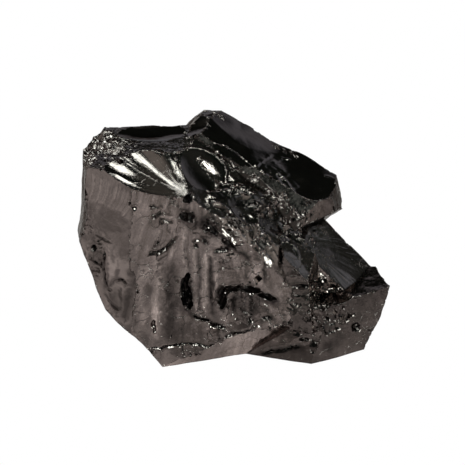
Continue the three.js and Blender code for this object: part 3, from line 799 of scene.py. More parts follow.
# an object from arrays of points and of faces that all have as many corners; the
# label tells the fracture of each face
def newObject(name, points, faces, label=None):
    mesh = bpy.data.meshes.new(name)
    counts = np.full(len(faces), faces.shape[1], np.int32)
    mesh.vertices.add(len(points))
    mesh.vertices.foreach_set("co", np.ascontiguousarray(points, np.float32).ravel())
    mesh.loops.add(int(counts.sum()))
    mesh.loops.foreach_set("vertex_index", np.ascontiguousarray(faces, np.int32).ravel())
    mesh.polygons.add(len(faces))
    mesh.polygons.foreach_set("loop_start", np.arange(len(faces), dtype=np.int32) * faces.shape[1])
    mesh.update(calc_edges=True)
    if label is not None:
        mark = mesh.attributes.new("fracture", "INT", "FACE")
        mark.data.foreach_set("value", np.full(len(faces), label, np.int32))
    made = bpy.data.objects.new(name, mesh)
    bpy.context.scene.collection.objects.link(made)
    return made


# a closed body from two matching grids of points: near side, far side and a strip round the edge
def closedSlab(near, far):
    rows, columns = near.shape[:2]
    n = rows * columns
    index = np.arange(n).reshape(rows, columns)
    cells = np.stack([index[:-1, :-1], index[1:, :-1], index[1:, 1:], index[:-1, 1:]], -1).reshape(-1, 4)
    rim = np.concatenate([index[:, 0], index[-1, 1:], index[-2::-1, -1], index[0, -2:0:-1]])
    after = np.roll(rim, -1)
    strip = np.stack([rim, after, after + n, rim + n], -1)
    points = np.concatenate([near.reshape(-1, 3), far.reshape(-1, 3)])
    return points, np.concatenate([cells[:, ::-1], cells + n, strip])


# grid lines: fine between low and high, wider outside, out to the sheet's reach
def gridLines(low, high, spacing):
    reach = lump["reach"]
    fine = np.linspace(low, high, max(3, int((high - low) / spacing) + 2))
    wider = np.array(lump["widerLines"])
    lines = np.concatenate([[-reach], low - wider[::-1], fine, high + wider, [reach]])
    return np.unique(lines[np.abs(lines) <= reach])


# where a fracture shows on the CAD solid: the span in u and v of the solid's points that lie on it
def shownSpan(fracture):
    across, up, out = faceAxes(fracture)
    local = cadPoints - np.array(fracture["at"])
    u, v, w = local @ across, local @ up, local @ out
    on = np.abs(w - sheetHeight(fracture, u, v)) < fracture["near"]
    if on.sum() < 3:
        return None
    margin = lump["margin"]
    return (u[on].min() - margin, u[on].max() + margin, v[on].min() - margin, v[on].max() + margin)


# everything outside of a fracture: the sheet point = at + u * across + v * up + height(u, v) * out
def brokenSide(fracture, label):
    across, up, out = faceAxes(fracture)
    span = shownSpan(fracture)
    spacing = fracture["fine"]
    if span is None:
        span, spacing = lump["hiddenSpan"], lump["hiddenSpacing"]
    acrossLines, upLines = gridLines(*span[:2], spacing), gridLines(*span[2:], spacing)
    u, v = np.meshgrid(acrossLines, upLines, indexing="ij")
    flat = np.array(fracture["at"]) + u[..., None] * across + v[..., None] * up
    near = flat + fullHeight(fracture, labels[label], u, v)[..., None] * out
    points, faces = closedSlab(near, flat + lump["brokenDepth"] * out)
    return newObject("brokenSide", points, faces, label)


# takes the cutters from the body, or joins them to it, and clears them away
def worked(body, others, operation):
    for other in others:
        step = body.modifiers.new("work", "BOOLEAN")
        step.operation, step.solver, step.object = operation, "MANIFOLD", other
    evaluated = body.evaluated_get(bpy.context.evaluated_depsgraph_get())
    mesh = bpy.data.meshes.new_from_object(evaluated)
    made = bpy.data.objects.new(body.name, mesh)
    bpy.context.scene.collection.objects.link(made)
    for old in [body, *others]:
        oldMesh = old.data
        bpy.data.objects.remove(old)
        bpy.data.meshes.remove(oldMesh)
    return made


# the cutters of a block's fractures, each listed under its label
def brokenSides(block, fractures):
    cutters = []
    for name, ownLook in fractures.items():
        label = len(labels)
        labels.append(block + "." + name)
        fractureOf[label] = {**plainSheet, **ownLook}
        cutters.append(brokenSide(fractureOf[label], label))
    return cutters


# a cube from -1 to 1: its corners and its sides
boxCorners = np.array([(x, y, z) for x in (-1, 1) for y in (-1, 1) for z in (-1, 1)], float)
boxSides = np.array(((0, 1, 3, 2), (4, 6, 7, 5), (0, 4, 5, 1), (2, 3, 7, 6), (0, 2, 6, 4), (1, 5, 7, 3)))


# a rough block with everything outside of its fractures broken away
def splitBlock(name, fractures):
    low, high = np.array(lump["rough"]["low"]), np.array(lump["rough"]["high"])
    block = newObject(name, low + (boxCorners + 1) / 2 * (high - low), boxSides, 0)
    return worked(block, brokenSides(name, fractures), "DIFFERENCE")


# a unit ball of rings: (cos a sin b, sin a sin b, cos b), as points and triangles
def unitBall(rings):
    a = np.linspace(0, 2 * math.pi, 2 * rings, endpoint=False)
    b = np.linspace(0, math.pi, rings + 1)[1:-1]
    aa, bb = np.meshgrid(a, b, indexing="ij")
    ball = np.stack([np.cos(aa) * np.sin(bb), np.sin(aa) * np.sin(bb), np.cos(bb)], -1)
    n, m = ball.shape[:2]
    index = np.arange(n * m).reshape(n, m)
    turned = np.roll(index, -1, axis=0)
    quads = np.stack([index[:, :-1], index[:, 1:], turned[:, 1:], turned[:, :-1]], -1).reshape(-1, 4)
    triangles = np.concatenate([
        quads[:, (0, 1, 2)], quads[:, (0, 2, 3)],
        np.stack([np.full(n, n * m), index[:, 0], turned[:, 0]], -1),
        np.stack([np.full(n, n * m + 1), turned[:, -1], index[:, -1]], -1),
    ])
    return np.concatenate([ball.reshape(-1, 3), ((0, 0, 1), (0, 0, -1))]), triangles


# a ragged hollow: point = middle + size * unit ball * (1 + noise), leaned over
def hollow(pit, label):
    ball, triangles = unitBall(pitLook["rings"])
    ownSeed = int(abs(pit["at"][0] * 10))
    knots, (skewX, skewZ) = pitLook["knots"], pitLook["skew"]
    swell = 1 + pitLook["ragged"] * layeredNoise(
        knots * ball[:, 0] + skewX * ball[:, 1], knots * ball[:, 2] + skewZ * ball[:, 1], ownSeed)
    ball = ball * swell[:, None] * np.array(pit["size"])
    lean = math.radians(pit["lean"])
    x = ball[:, 0] * math.cos(lean) + ball[:, 2] * math.sin(lean)
    z = ball[:, 2] * math.cos(lean) - ball[:, 0] * math.sin(lean)
    return newObject("hollow", np.stack([x, ball[:, 1], z], -1) + np.array(pit["at"]), triangles, label)


# the CAD solid's points, in mm and about the fractures' own origin
boxMiddle = np.array((*lump["middle"], 0))
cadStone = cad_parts["shungite_lump"]
cadPoints = readArray(cadStone.data.vertices, "co", 3, np.float32)
cadPoints = np.unique(cadPoints.round(7), axis=0) / mm + boxMiddle

labels, fractureOf = ["rest"], {}
stone = splitBlock("body", bodyFractures)
print("body split")
others = [splitBlock("slab", slabFractures), splitBlock("ledge", ledgeFractures),
          splitBlock("step", stepFractures), splitBlock("foot", footFractures)]
stone = worked(stone, others, "UNION")
print("blocks joined", len(stone.data.polygons))
cutters = brokenSides("scar", flakeScars)
labels.append("pit")
cutters += [hollow(pit, len(labels) - 1) for pit in pits.values()]
stone = worked(stone, cutters, "DIFFERENCE")
print("flakes and pits taken out", len(stone.data.polygons))

# Chips are scooped out of the sharp edges and crumbs broken out of the crushed
# zones, each zone a middle, a radius and how many crumbs are tried. Sizes in mm.
chips = {"seed": 5, "rounds": 2, "tries": 520, "angle": 18, "aboveFloor": 0.6, "size": (0.4, 1.5),
         "mostlySmall": 2.5, "bite": (0.12, 0.3), "stray": 0.35, "rings": 5, "knobbly": 0.12, "wider": 1.15}
crowd = {"clearance": 1.02, "stretch": (0.55, 1.0)}
crumbs = {"seed": 8, "rounds": 2, "size": (0.5, 1.4), "mostlySmall": 1.5, "bite": (0.2, 0.6),
          "standOff": 0.75, "zoneCore": 1.3, "zones": (
    ((-26.5, 16, 40), 5.5, 70),
    ((-23, 11, 41), 4.0, 50),
    ((-20.5, 17, 41), 3.5, 30),
    ((1, 5.2, 30), 2.2, 16),
    ((4.4, 6.5, 27), 2.2, 16),
    ((7.5, 15.3, 28.7), 2.6, 14),
    ((11, 14, 24.5), 2.6, 14),
    ((15.5, 17, 25.5), 2.6, 26),
    ((17.2, 4.9, 10.2), 3.2, 34),
    ((21.3, 6, 8.4), 2.2, 16),
    ((14.5, 3.2, 8), 2.4, 16),
    ((-28.3, 7.5, 33), 2.6, 16),
    ((3.2, 2.2, 16.2), 3.2, 12),
    ((-1.4, 1.8, 14.8), 2.0, 6),
    ((-0.3, 2.4, 25.6), 2.2, 8),
    ((-8.3, 1.6, 32.6), 1.8, 6),
    ((-9.4, 1.2, 18.6), 2.0, 6),
    ((-26.2, 24, 40), 3.0, 18),
    ((-28.9, 21.5, 37.3), 2.4, 12),
    ((22.4, 31.7, 24.3), 2.2, 12),
    ((22.9, 31.8, 19.6), 2.0, 10),
    ((31, 11.3, 11.5), 1.8, 8),
    ((28, 8.6, 2.8), 1.8, 8),
    ((-27.3, 3.4, 15.8), 2.2, 8),
    ((-3.4, 31.4, 41), 2.6, 10),
    ((11.8, 33, 32.6), 3.0, 8),
)}


# for every edge: its middle, the way out between its two faces, the angle it turns
# (+ outward), its length, whether it parts two fractures, and its two ends
def edgeTurns(mesh):
    label = readArray(mesh.attributes["fracture"].data, "value", kind=np.int32)
    edgeOf = readArray(mesh.loops, "edge_index", kind=np.int32)
    faceOf = np.repeat(np.arange(len(mesh.polygons)), readArray(mesh.polygons, "loop_total", kind=np.int32))
    normals, centres = readArray(mesh.polygons, "normal", 3), readArray(mesh.polygons, "center", 3)
    ends, places = readArray(mesh.edges, "vertices", 2, np.int32), readArray(mesh.vertices, "co", 3)
    pair = faceOf[np.argsort(edgeOf, kind="stable")].reshape(-1, 2)
    first, second = normals[pair[:, 0]], normals[pair[:, 1]]
    angle = np.degrees(np.arccos(np.clip((first * second).sum(1), -1, 1)))
    outward = ((centres[pair[:, 1]] - centres[pair[:, 0]]) * first).sum(1) < 0
    out = first + second
    out /= np.maximum(np.linalg.norm(out, axis=1, keepdims=True), 1e-9)
    long = np.linalg.norm(places[ends[:, 0]] - places[ends[:, 1]], axis=1)
    between = label[pair[:, 0]] != label[pair[:, 1]]
    return places[ends].mean(1), out, np.where(outward, angle, -angle), long, between, ends


# random turns: the matrix of a random unit quaternion for each cutter
def randomTurns(rng, count):
    w, x, y, z = rng.normal(size=(4, count))
    long = np.sqrt(w * w + x * x + y * y + z * z)
    w, x, y, z = w / long, x / long, y / long, z / long
    rows = ((1 - 2 * (y * y + z * z), 2 * (x * y - z * w), 2 * (x * z + y * w)),
            (2 * (x * y + z * w), 1 - 2 * (x * x + z * z), 2 * (y * z - x * w)),
            (2 * (x * z - y * w), 2 * (y * z + x * w), 1 - 2 * (x * x + y * y)))
    return np.stack([np.stack(row, -1) for row in rows], 1)


# cutters that stay clear of each other: shape / reach * stretch * (1 + knobbly * noise),
# turned and moved to each place
def cutterCrowd(rng, shape, faces, reach, knobbly, places, sizes, label):
    kept = []
    for k in range(len(places)):
        others = np.array(kept, int)
        gaps = np.linalg.norm(places[others] - places[k], axis=1)
        if (gaps >= crowd["clearance"] * (sizes[others] + sizes[k])).all():
            kept.append(k)
    kept = np.array(kept)
    turns = randomTurns(rng, len(places))[kept]
    stretch = rng.uniform(*crowd["stretch"], (len(places), 1, 3))[kept] * sizes[kept][:, None, None]
    swell = 1 + knobbly * rng.normal(size=(len(kept), len(shape), 1))
    moved = np.einsum("kij,knj->kni", turns, shape[None] / reach * stretch * swell) + places[kept][:, None]
    offsets = (np.arange(len(kept)) * len(shape))[:, None, None]
    crowdFaces = (faces[None] + offsets).reshape(-1, faces.shape[1])
    return newObject("crowd", moved.reshape(-1, 3), crowdFaces, label)


# scoops knobbly balls out of outward edges, long ones more often: each ball's middle
# lies (1 - bite) of its size out from the edge
def chipped(body, label, seed):
    rng = np.random.default_rng(seed)
    middles, out, angle, long, between, _ = edgeTurns(body.data)
    free = middles[:, 2] > chips["aboveFloor"]
    weight = np.where(between & (angle > chips["angle"]) & free, long, 0)
    picked = rng.choice(len(weight), chips["tries"], p=weight / weight.sum())
    low, high = chips["size"]
    sizes = low + (high - low) * rng.random(len(picked)) ** chips["mostlySmall"]
    bite = rng.uniform(*chips["bite"], len(picked))
    away = out[picked] + chips["stray"] * rng.normal(size=(len(picked), 3))
    away /= np.linalg.norm(away, axis=1, keepdims=True)
    places = middles[picked] + away * (sizes * (1 - bite))[:, None]
    shape, faces = unitBall(chips["rings"])
    scoops = cutterCrowd(rng, shape, faces, 1, chips["knobbly"], places, sizes * chips["wider"], label)
    return worked(body, [scoops], "DIFFERENCE")


# breaks small blocks out of the faces of each crushed zone, fewer towards its rim
def crumbled(body, label, seed):
    rng = np.random.default_rng(seed)
    faces = body.data.polygons
    centres, normals = readArray(faces, "center", 3), readArray(faces, "normal", 3)
    areas = readArray(faces, "area")
    picked = []
    for middle, radius, count in crumbs["zones"]:
        far = np.linalg.norm(centres - np.array(middle), axis=1)
        weight = areas * np.clip(crumbs["zoneCore"] * (1 - far / radius), 0, 1)
        picked.append(rng.choice(len(faces), count, p=weight / weight.sum()))
    picked = np.concatenate(picked)
    rng.shuffle(picked)
    low, high = crumbs["size"]
    sizes = low + (high - low) * rng.random(len(picked)) ** crumbs["mostlySmall"]
    bite = rng.uniform(*crumbs["bite"], len(picked))
    places = centres[picked] + normals[picked] * (sizes * (crumbs["standOff"] - bite))[:, None]
    blocks = cutterCrowd(rng, boxCorners, boxSides, math.sqrt(3), 0, places, sizes, label)
    return worked(body, [blocks], "DIFFERENCE")


labels += ["chip", "crumb"]
for k in range(crumbs["rounds"]):
    stone = crumbled(stone, len(labels) - 1, crumbs["seed"] + k)
for k in range(chips["rounds"]):
    stone = chipped(stone, len(labels) - 2, chips["seed"] + k)
print("chipped and crumbled", len(stone.data.polygons))

# the finished mesh goes to metres, about the box's middle; points stays in mm
points = readArray(stone.data.vertices, "co", 3)
stone.data.vertices.foreach_set("co", ((points - boxMiddle) * mm).astype(np.float32).ravel())
stone.data.update()
stone.name = "shungite"
stone.data.shade_smooth()
stone.data.set_sharp_from_angle(angle=math.radians(lump["sharpAngle"]))

# How each fracture is finished: tone multiplies the colour, painting light into a face above 1 and shade
# below 1, rough is its roughness, hackle and crumble go from 0 to 1, and strike is where its lines spread
# from, in its own mm across and up.
plain = {"tone": 1.0, "rough": 0.07, "hackle": 0.1, "crumble": 0.05, "strike": (0, 30)}
finishes = {
    "body.frontLeft": {"tone": 1.06, "rough": 0.09, "hackle": 0.08, "crumble": 0.0, "strike": (4, 45)},
    "body.frontMiddle": {"tone": 1.35, "rough": 0.12, "hackle": 0.55, "crumble": 0.03, "strike": (6, 40)},
    "body.frontRight": {"tone": 1.28, "rough": 0.14, "hackle": 0.9, "crumble": 0.12, "strike": (-3, 40)},
    "body.frontFoot": {"tone": 2.2, "hackle": 0.4},
    "body.leftTop": {"tone": 0.5, "rough": 0.2, "crumble": 0.3},
    "body.leftMiddle": {"tone": 0.5, "rough": 0.2, "crumble": 0.3},
    "body.leftFoot": {"tone": 0.6, "rough": 0.2, "crumble": 0.3},
    "body.leftCorner": {"tone": 1.6, "rough": 0.14, "crumble": 0.4},
    "body.top": {"tone": 1.5, "rough": 0.14, "crumble": 0.4},
    "body.middleTop": {"rough": 0.12},
    "body.diagonalHigh": {"rough": 0.1, "hackle": 0.25},
    "body.diagonalLow": {"crumble": 0.1, "rough": 0.14, "hackle": 0.5},
    "slab.top": {"rough": 0.05, "hackle": 0.03, "crumble": 0.0},
    "slab.riser": {"tone": 0.8, "crumble": 0.3, "rough": 0.14},
    "slab.lip": {"tone": 0.6, "rough": 0.15, "crumble": 0.15, "hackle": 0.3},
    "slab.endFront": {"tone": 1.1, "hackle": 0.3},
    "slab.endRight": {"tone": 0.45, "rough": 0.25, "crumble": 0.4},
    "slab.overhang": {"tone": 0.5, "rough": 0.2, "crumble": 0.3},
    "scar.shell": {"rough": 0.08, "hackle": 0.12, "crumble": 0.0, "strike": (2.3, -6.3)},
    "scar.dish": {"hackle": 0.04, "crumble": 0.0},
    "scar.shelf": {"rough": 0.06, "hackle": 0.03, "crumble": 0.0},
    "ledge.top": {"rough": 0.06, "hackle": 0.6, "crumble": 0.0, "strike": (-8, 6)},
    "ledge.riser": {"tone": 1.6, "hackle": 0.3, "crumble": 0.15},
    "step.top": {"hackle": 0.3},
    "step.riser": {"tone": 0.65, "hackle": 0.4, "crumble": 0.15},
    "step.end": {"tone": 2.2, "hackle": 0.4},
    "foot.top": {"tone": 0.7, "crumble": 0.15},
    "foot.frontRight": {"tone": 0.68, "hackle": 0.3},
    "foot.frontLeft": {"hackle": 0.4},
    # the pits' low tone is painted shade in their hollows
    "pit": {"rough": 0.3, "crumble": 0.3, "tone": 0.3},
    "chip": {"rough": 0.08, "crumble": 0.15},
    "crumb": {"tone": 1.1, "rough": 0.08, "crumble": 0.2},
}

# each corner of the mesh gets its fracture's finish and its place among the lines
# that spread from the strike: bearing * 10, distance, and a layer of its own
faceLabel = readArray(stone.data.attributes["fracture"].data, "value", kind=np.int32)
cornerLabel = np.repeat(faceLabel, readArray(stone.data.polygons, "loop_total", kind=np.int32))
corner = readArray(stone.data.loops, "vertex_index", kind=np.int32)
skin = np.zeros((len(corner), 3))
tone = np.ones(len(corner))
spread = np.zeros((len(corner), 3))
for k, name in enumerate(labels):
    on = cornerLabel == k
    finish = {**plain, **finishes.get(name, {})}
    skin[on] = (finish["rough"], finish["hackle"], finish["crumble"])
    tone[on] = finish["tone"]
    if k in fractureOf:
        across, up, _ = faceAxes(fractureOf[k])
        away = points[corner[on]] - np.array(fractureOf[k]["at"])
        u, v = away @ across, away @ up
        # the marks' painted shade and light multiply the tone
        tone[on] *= marksOf(fractureOf[k], name, u, v)[1]
        du, dv = u - finish["strike"][0], v - finish["strike"][1]
        spread[on] = np.stack([10 * np.arctan2(du, -dv), np.hypot(du, dv), np.full(on.sum(), k * 3.0)], -1)

# worn edges: rougher where two faces meet outward, and lighter there with a painted highlight, in patches of
# about this many mm; darker where they meet inward, as painted shade in the crease
edgeWearLightAndShade = {"angle": 16, "rough": 0.3, "crumble": 0.35, "tone": 1.5, "creaseShade": 0.45, "patch": 1.6,
        "usual": 0.6, "patchy": 1.2}
_, _, angle, _, between, ends = edgeTurns(stone.data)
patchy = layeredNoise(points[:, 0] / edgeWearLightAndShade["patch"], (points[:, 1] + points[:, 2]) / edgeWearLightAndShade["patch"], 77)
outer, inner = np.zeros(len(points), bool), np.zeros(len(points), bool)
outer[ends[between & (angle > edgeWearLightAndShade["angle"])].ravel()] = True
inner[ends[between & (angle < -edgeWearLightAndShade["angle"])].ravel()] = True
amount = np.where(outer, np.clip(edgeWearLightAndShade["usual"] + edgeWearLightAndShade["patchy"] * patchy, 0, 1), 0)[corner]
skin[:, 0] += (edgeWearLightAndShade["rough"] - skin[:, 0]) * amount
skin[:, 2] = np.maximum(skin[:, 2], edgeWearLightAndShade["crumble"] * amount)
# painted highlight along the outward edges, painted shade along the inward ones
tone *= 1 + (edgeWearLightAndShade["tone"] - 1) * amount
tone *= np.where(inner[corner], edgeWearLightAndShade["creaseShade"], 1)
for name, values in (("skin", skin), ("tone", tone), ("spread", spread)):
    kind, slot = ("FLOAT_VECTOR", "vector") if values.ndim == 2 else ("FLOAT", "value")
    made = stone.data.attributes.new(name, kind, "CORNER")
    made.data.foreach_set(slot, values.astype(np.float32).ravel())
stone.data.calc_loop_triangles()
print("finishes laid on", len(faceLabel), "faces,", len(stone.data.loop_triangles), "triangles")

stoneFinish = {
    "colour": (0.115, 0.096, 0.091),
    "metallic": 1.0,
    "grazing": (0.45, 0.43, 0.42),    # holds back the gleam at a flat angle
    "mottle": 0.8,                    # how much the colour wanders
    "mottleSize": 0.35,               # sizes are noise cells per mm
    # streaks paint light on the raised hackle lines and shade between them
    "streaks": 2.2,                   # how much it changes from hackle line to hackle line
    "roughWander": 0.08,
    "grainSize": 1.7,
    "grainHeight": 0.012,             # heights in mm
    "hackleStretch": (3.0, 0.12, 1.0),  # close across the lines, long along them
    "hackleHeight": 0.09,
    "tornSize": 2.6,
    "tornHeight": 0.05,
    "tornPatches": 0.24,
    "tornFrom": (0.46, 0.6),          # the patches' noise, from none to all
    "bendSize": 1.1,
    "crackBend": 1.1,                 # how far cells are bent out of shape, in mm
    "crackSize": 0.33,
    "crackWidth": 0.035,              # as a share of a cell
    "crackHeight": 0.08,
    "crackDark": 0.7,
    "crumbBend": 1.6,
    "crumbSize": 1.7,
    "crumbHeight": 0.3,
}


def node(tree, kind, inputs=None, **settings):
    made = tree.nodes.new(kind)
    for key, value in settings.items():
        setattr(made, key, value)
    for key, value in (inputs or {}).items():
        if isinstance(value, bpy.types.NodeSocket):
            tree.links.new(value, made.inputs[key])
        else:
            made.inputs[key].default_value = value
    return made


def calculate(tree, operation, first, second=0.0, third=0.0):
    return node(tree, "ShaderNodeMath", {0: first, 1: second, 2: third}, operation=operation).outputs[0]


def onVectors(tree, operation, *values, output="Vector"):
    made = node(tree, "ShaderNodeVectorMath", dict(enumerate(values)), operation=operation)
    return made.outputs[output]


def noise(tree, place, size, detail, output="Fac", roughness=0.5):
    inputs = {"Vector": place, "Scale": size, "Detail": detail, "Roughness": roughness}
    return node(tree, "ShaderNodeTexNoise", inputs).outputs[output]


# blends from one value to another as x goes from low to high, with soft ends
def softRange(tree, x, low, high, first, last):
    made = node(tree, "ShaderNodeMapRange", interpolation_type="SMOOTHSTEP")
    for socket, value in zip(made.inputs[:5], (x, low, high, first, last)):
        if isinstance(value, bpy.types.NodeSocket):
            tree.links.new(value, socket)
        else:
            socket.default_value = value
    return made.outputs[0]


# a new material's or world's empty node tree
def emptyTree(owner):
    owner.use_nodes = True
    owner.node_tree.nodes.clear()
    return owner.node_tree


# the crumbs' tilted facets: the way from the nearest cell's middle . that cell's own tilt
def crumbFacets(tree, inMm, bend):
    size = stoneFinish["crumbSize"]
    bent = onVectors(tree, "MULTIPLY_ADD", bend, (stoneFinish["crumbBend"],) * 3, inMm)
    cells = node(tree, "ShaderNodeTexVoronoi", {"Vector": bent, "Scale": size})
    inCells = onVectors(tree, "MULTIPLY", bent, (size,) * 3)
    fromMiddle = onVectors(tree, "SUBTRACT", inCells, cells.outputs["Position"])
    tilt = onVectors(tree, "SUBTRACT", cells.outputs["Color"], (0.5, 0.5, 0.5))
    return onVectors(tree, "DOT_PRODUCT", fromMiddle, tilt, output="Value")


# cracks: the edges of large ragged cells, 1 on a crack and 0 away from it
def crackLines(tree, inMm, bend):
    bent = onVectors(tree, "MULTIPLY_ADD", bend, (stoneFinish["crackBend"],) * 3, inMm)
    cells = node(tree, "ShaderNodeTexVoronoi", {"Vector": bent, "Scale": stoneFinish["crackSize"]},
                 feature="DISTANCE_TO_EDGE")
    return softRange(tree, cells.outputs["Distance"], 0.0, stoneFinish["crackWidth"], 1.0, 0.0)


# glossy black stone; what differs from face to face comes from skin, tone and spread
def shungiteGloss():
    look = stoneFinish
    material = bpy.data.materials.new("shungiteGloss")
    tree = emptyTree(material)
    place = node(tree, "ShaderNodeTexCoord").outputs["Object"]
    inMm = onVectors(tree, "MULTIPLY", place, (1 / mm, 1 / mm, 1 / mm))
    skin = node(tree, "ShaderNodeAttribute", attribute_name="skin").outputs["Vector"]
    rough, hackleHere, crumbleHere = node(tree, "ShaderNodeSeparateXYZ", {0: skin}).outputs
    tone = node(tree, "ShaderNodeAttribute", attribute_name="tone").outputs["Fac"]
    spread = node(tree, "ShaderNodeAttribute", attribute_name="spread").outputs["Vector"]
    grain = noise(tree, inMm, look["grainSize"], 5.0)
    bend = noise(tree, inMm, look["bendSize"], 3.0, "Color")
    hackle = noise(tree, onVectors(tree, "MULTIPLY", spread, look["hackleStretch"]), 1.0, 4.0)
    patches = softRange(tree, noise(tree, inMm, look["tornPatches"], 3.0), *look["tornFrom"], 0.0, 1.0)
    torn = calculate(tree, "MULTIPLY", patches, hackleHere)
    crack = calculate(tree, "MULTIPLY", crackLines(tree, inMm, bend), torn)

    # height = grain + hackle + torn patches - cracks + crumbs
    height = calculate(tree, "MULTIPLY", grain, look["grainHeight"])
    hackled = calculate(tree, "MULTIPLY", hackle, hackleHere)
    height = calculate(tree, "MULTIPLY_ADD", hackled, look["hackleHeight"], height)
    tornGrain = calculate(tree, "MULTIPLY", noise(tree, inMm, look["tornSize"], 4.0), torn)
    height = calculate(tree, "MULTIPLY_ADD", tornGrain, look["tornHeight"], height)
    height = calculate(tree, "MULTIPLY_ADD", crack, -look["crackHeight"], height)
    facets = calculate(tree, "MULTIPLY", crumbFacets(tree, inMm, bend), crumbleHere)
    height = calculate(tree, "MULTIPLY_ADD", facets, look["crumbHeight"], height)
    bump = node(tree, "ShaderNodeBump", {"Height": height, "Distance": mm, "Strength": 1.0}).outputs[0]

    # brightness = tone * mottle * streaks * (1 - dark cracks): tone carries painted light and shade, and
    # streaks paint light on raised hackle lines and shade between them
    wander = calculate(tree, "SUBTRACT", noise(tree, inMm, look["mottleSize"], 6.0, roughness=0.65), 0.5)
    mottle = calculate(tree, "MULTIPLY_ADD", wander, look["mottle"], 1.0)
    streaks = calculate(tree, "MULTIPLY", calculate(tree, "SUBTRACT", hackle, 0.5), hackleHere)
    streaks = calculate(tree, "MULTIPLY_ADD", streaks, look["streaks"], 1.0)
    cracked = calculate(tree, "MULTIPLY_ADD", crack, -look["crackDark"], 1.0)
    brightness = calculate(tree, "MULTIPLY", mottle, tone)
    brightness = calculate(tree, "MULTIPLY", brightness, streaks)
    brightness = calculate(tree, "MULTIPLY", brightness, cracked)
    colour = node(tree, "ShaderNodeVectorMath", {0: look["colour"], "Scale": brightness}, operation="SCALE")
    uneven = calculate(tree, "SUBTRACT", grain, 0.5)
    uneven = calculate(tree, "MULTIPLY_ADD", uneven, look["roughWander"], rough)
    shader = node(tree, "ShaderNodeBsdfPrincipled", {
        "Base Color": colour.outputs[0], "Metallic": look["metallic"], "Roughness": uneven, "Normal": bump,
        "Specular Tint": (*look["grazing"], 1)})
    node(tree, "ShaderNodeOutputMaterial", {"Surface": shader.outputs[0]})
    return material


stone.data.materials.clear()
stone.data.materials.append(shungiteGloss())
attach(stone, "root")
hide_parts("shungite_lump")
print("stone finished")

# Floor: plain white to the eye; what mirrors it sees it a little dimmer close to the stone, a painted shade
# round the stone's foot, and dimmed far off, to the right and behind. Lengths in metres.
floorLook = {"size": 6.0, "seen": 1.0, "near": 0.74, "far": 1.02, "fadeFrom": 0.02, "fadeTo": 0.09,
             "edge": 0.4, "edgeFrom": 0.13, "edgeTo": 0.4, "right": 0.65, "rightFrom": 0.03, "rightTo": 0.06,
             "behind": 0.75, "behindFrom": 0.0, "behindTo": 0.03, "patchSize": 55.0,
             "patchFrom": 0.35, "patchTo": 0.65, "patchy": 0.9, "colour": (1.0, 0.98, 0.94)}


# seen by the camera it is one even white; mirrored, it goes from its near brightness, a painted shade by the
# stone, to its far brightness, patchy, and dimmed at its edge, to the right and behind
def paleFloor():
    look = floorLook
    material = bpy.data.materials.new("paleFloor")
    tree = emptyTree(material)
    place = node(tree, "ShaderNodeTexCoord").outputs["Object"]
    away = onVectors(tree, "LENGTH", place, output="Value")
    floorX, floorY, _ = node(tree, "ShaderNodeSeparateXYZ", {0: place}).outputs
    fade = softRange(tree, away, look["fadeFrom"], look["fadeTo"], look["near"], look["far"])
    patches = softRange(tree, noise(tree, place, look["patchSize"], 2.0), look["patchFrom"], look["patchTo"],
                        1 - look["patchy"] / 2, 1 + look["patchy"] / 2)
    strength = calculate(tree, "MULTIPLY", fade, patches)
    for along, part in ((away, "edge"), (floorX, "right"), (floorY, "behind")):
        dimmed = softRange(tree, along, look[part + "From"], look[part + "To"], 1.0, look[part])
        strength = calculate(tree, "MULTIPLY", strength, dimmed)
    seen = node(tree, "ShaderNodeEmission", {"Strength": look["seen"]})
    mirrored = node(tree, "ShaderNodeEmission", {"Color": (*look["colour"], 1), "Strength": strength})
    showOneOrOther(tree, "ShaderNodeOutputMaterial", seen, mirrored)
    return material


# the output shows one shader to the camera and the other to every other ray
def showOneOrOther(tree, output, seen, mirrored):
    toCamera = node(tree, "ShaderNodeLightPath").outputs["Is Camera Ray"]
    mix = node(tree, "ShaderNodeMixShader", {"Fac": toCamera, 1: mirrored.outputs[0], 2: seen.outputs[0]})
    node(tree, output, {"Surface": mix.outputs[0]})


half = floorLook["size"] / 2
floorCorners = np.array(((-half, -half, 0), (half, -half, 0), (half, half, 0), (-half, half, 0)))
floor = newObject("floor", floorCorners, np.array(((0, 1, 2, 3),)))
floor.data.materials.append(paleFloor())
print("floor laid")

# Room: white to the eye, dim to what mirrors it, with soft glows. A glow is the
# compass turn from straight back towards the right and height of its middle in
# degrees, its half width across and up, its brightness and its colour.
room = {"dim": (0.027, 0.034, 0.03), "softAcross": 0.3, "softUp": 0.4, "glows": (
    {"turn": 30, "height": 5, "across": 20, "up": 11, "brightness": 0.65, "colour": (0.74, 0.86, 1.0)},
    {"turn": 72, "height": 24, "across": 7, "up": 8, "brightness": 0.68, "colour": (0.76, 0.88, 1.0)},
    {"turn": -3, "height": 8, "across": 8, "up": 6, "brightness": 1.1, "colour": (0.74, 0.86, 1.0)},
    {"turn": 58, "height": 24, "across": 14, "up": 12, "brightness": 0.06, "colour": (0.95, 1.0, 0.9)},
    {"turn": 106, "height": 12, "across": 24, "up": 16, "brightness": 1.0, "colour": (1.0, 1.0, 0.93)},
    {"turn": 12, "height": 46, "across": 14, "up": 9, "brightness": 0.2, "colour": (1.0, 1.0, 0.9)},
    {"turn": -38, "height": 14, "across": 22, "up": 18, "brightness": 0.5, "colour": (1.0, 1.0, 0.93)},
    {"turn": 190, "height": 8, "across": 60, "up": 18, "brightness": 0.3, "colour": (1.0, 0.93, 0.88)},
    {"turn": 0, "height": 90, "across": 300, "up": 22, "brightness": 0.75, "colour": (1.0, 1.0, 0.92)},
)}


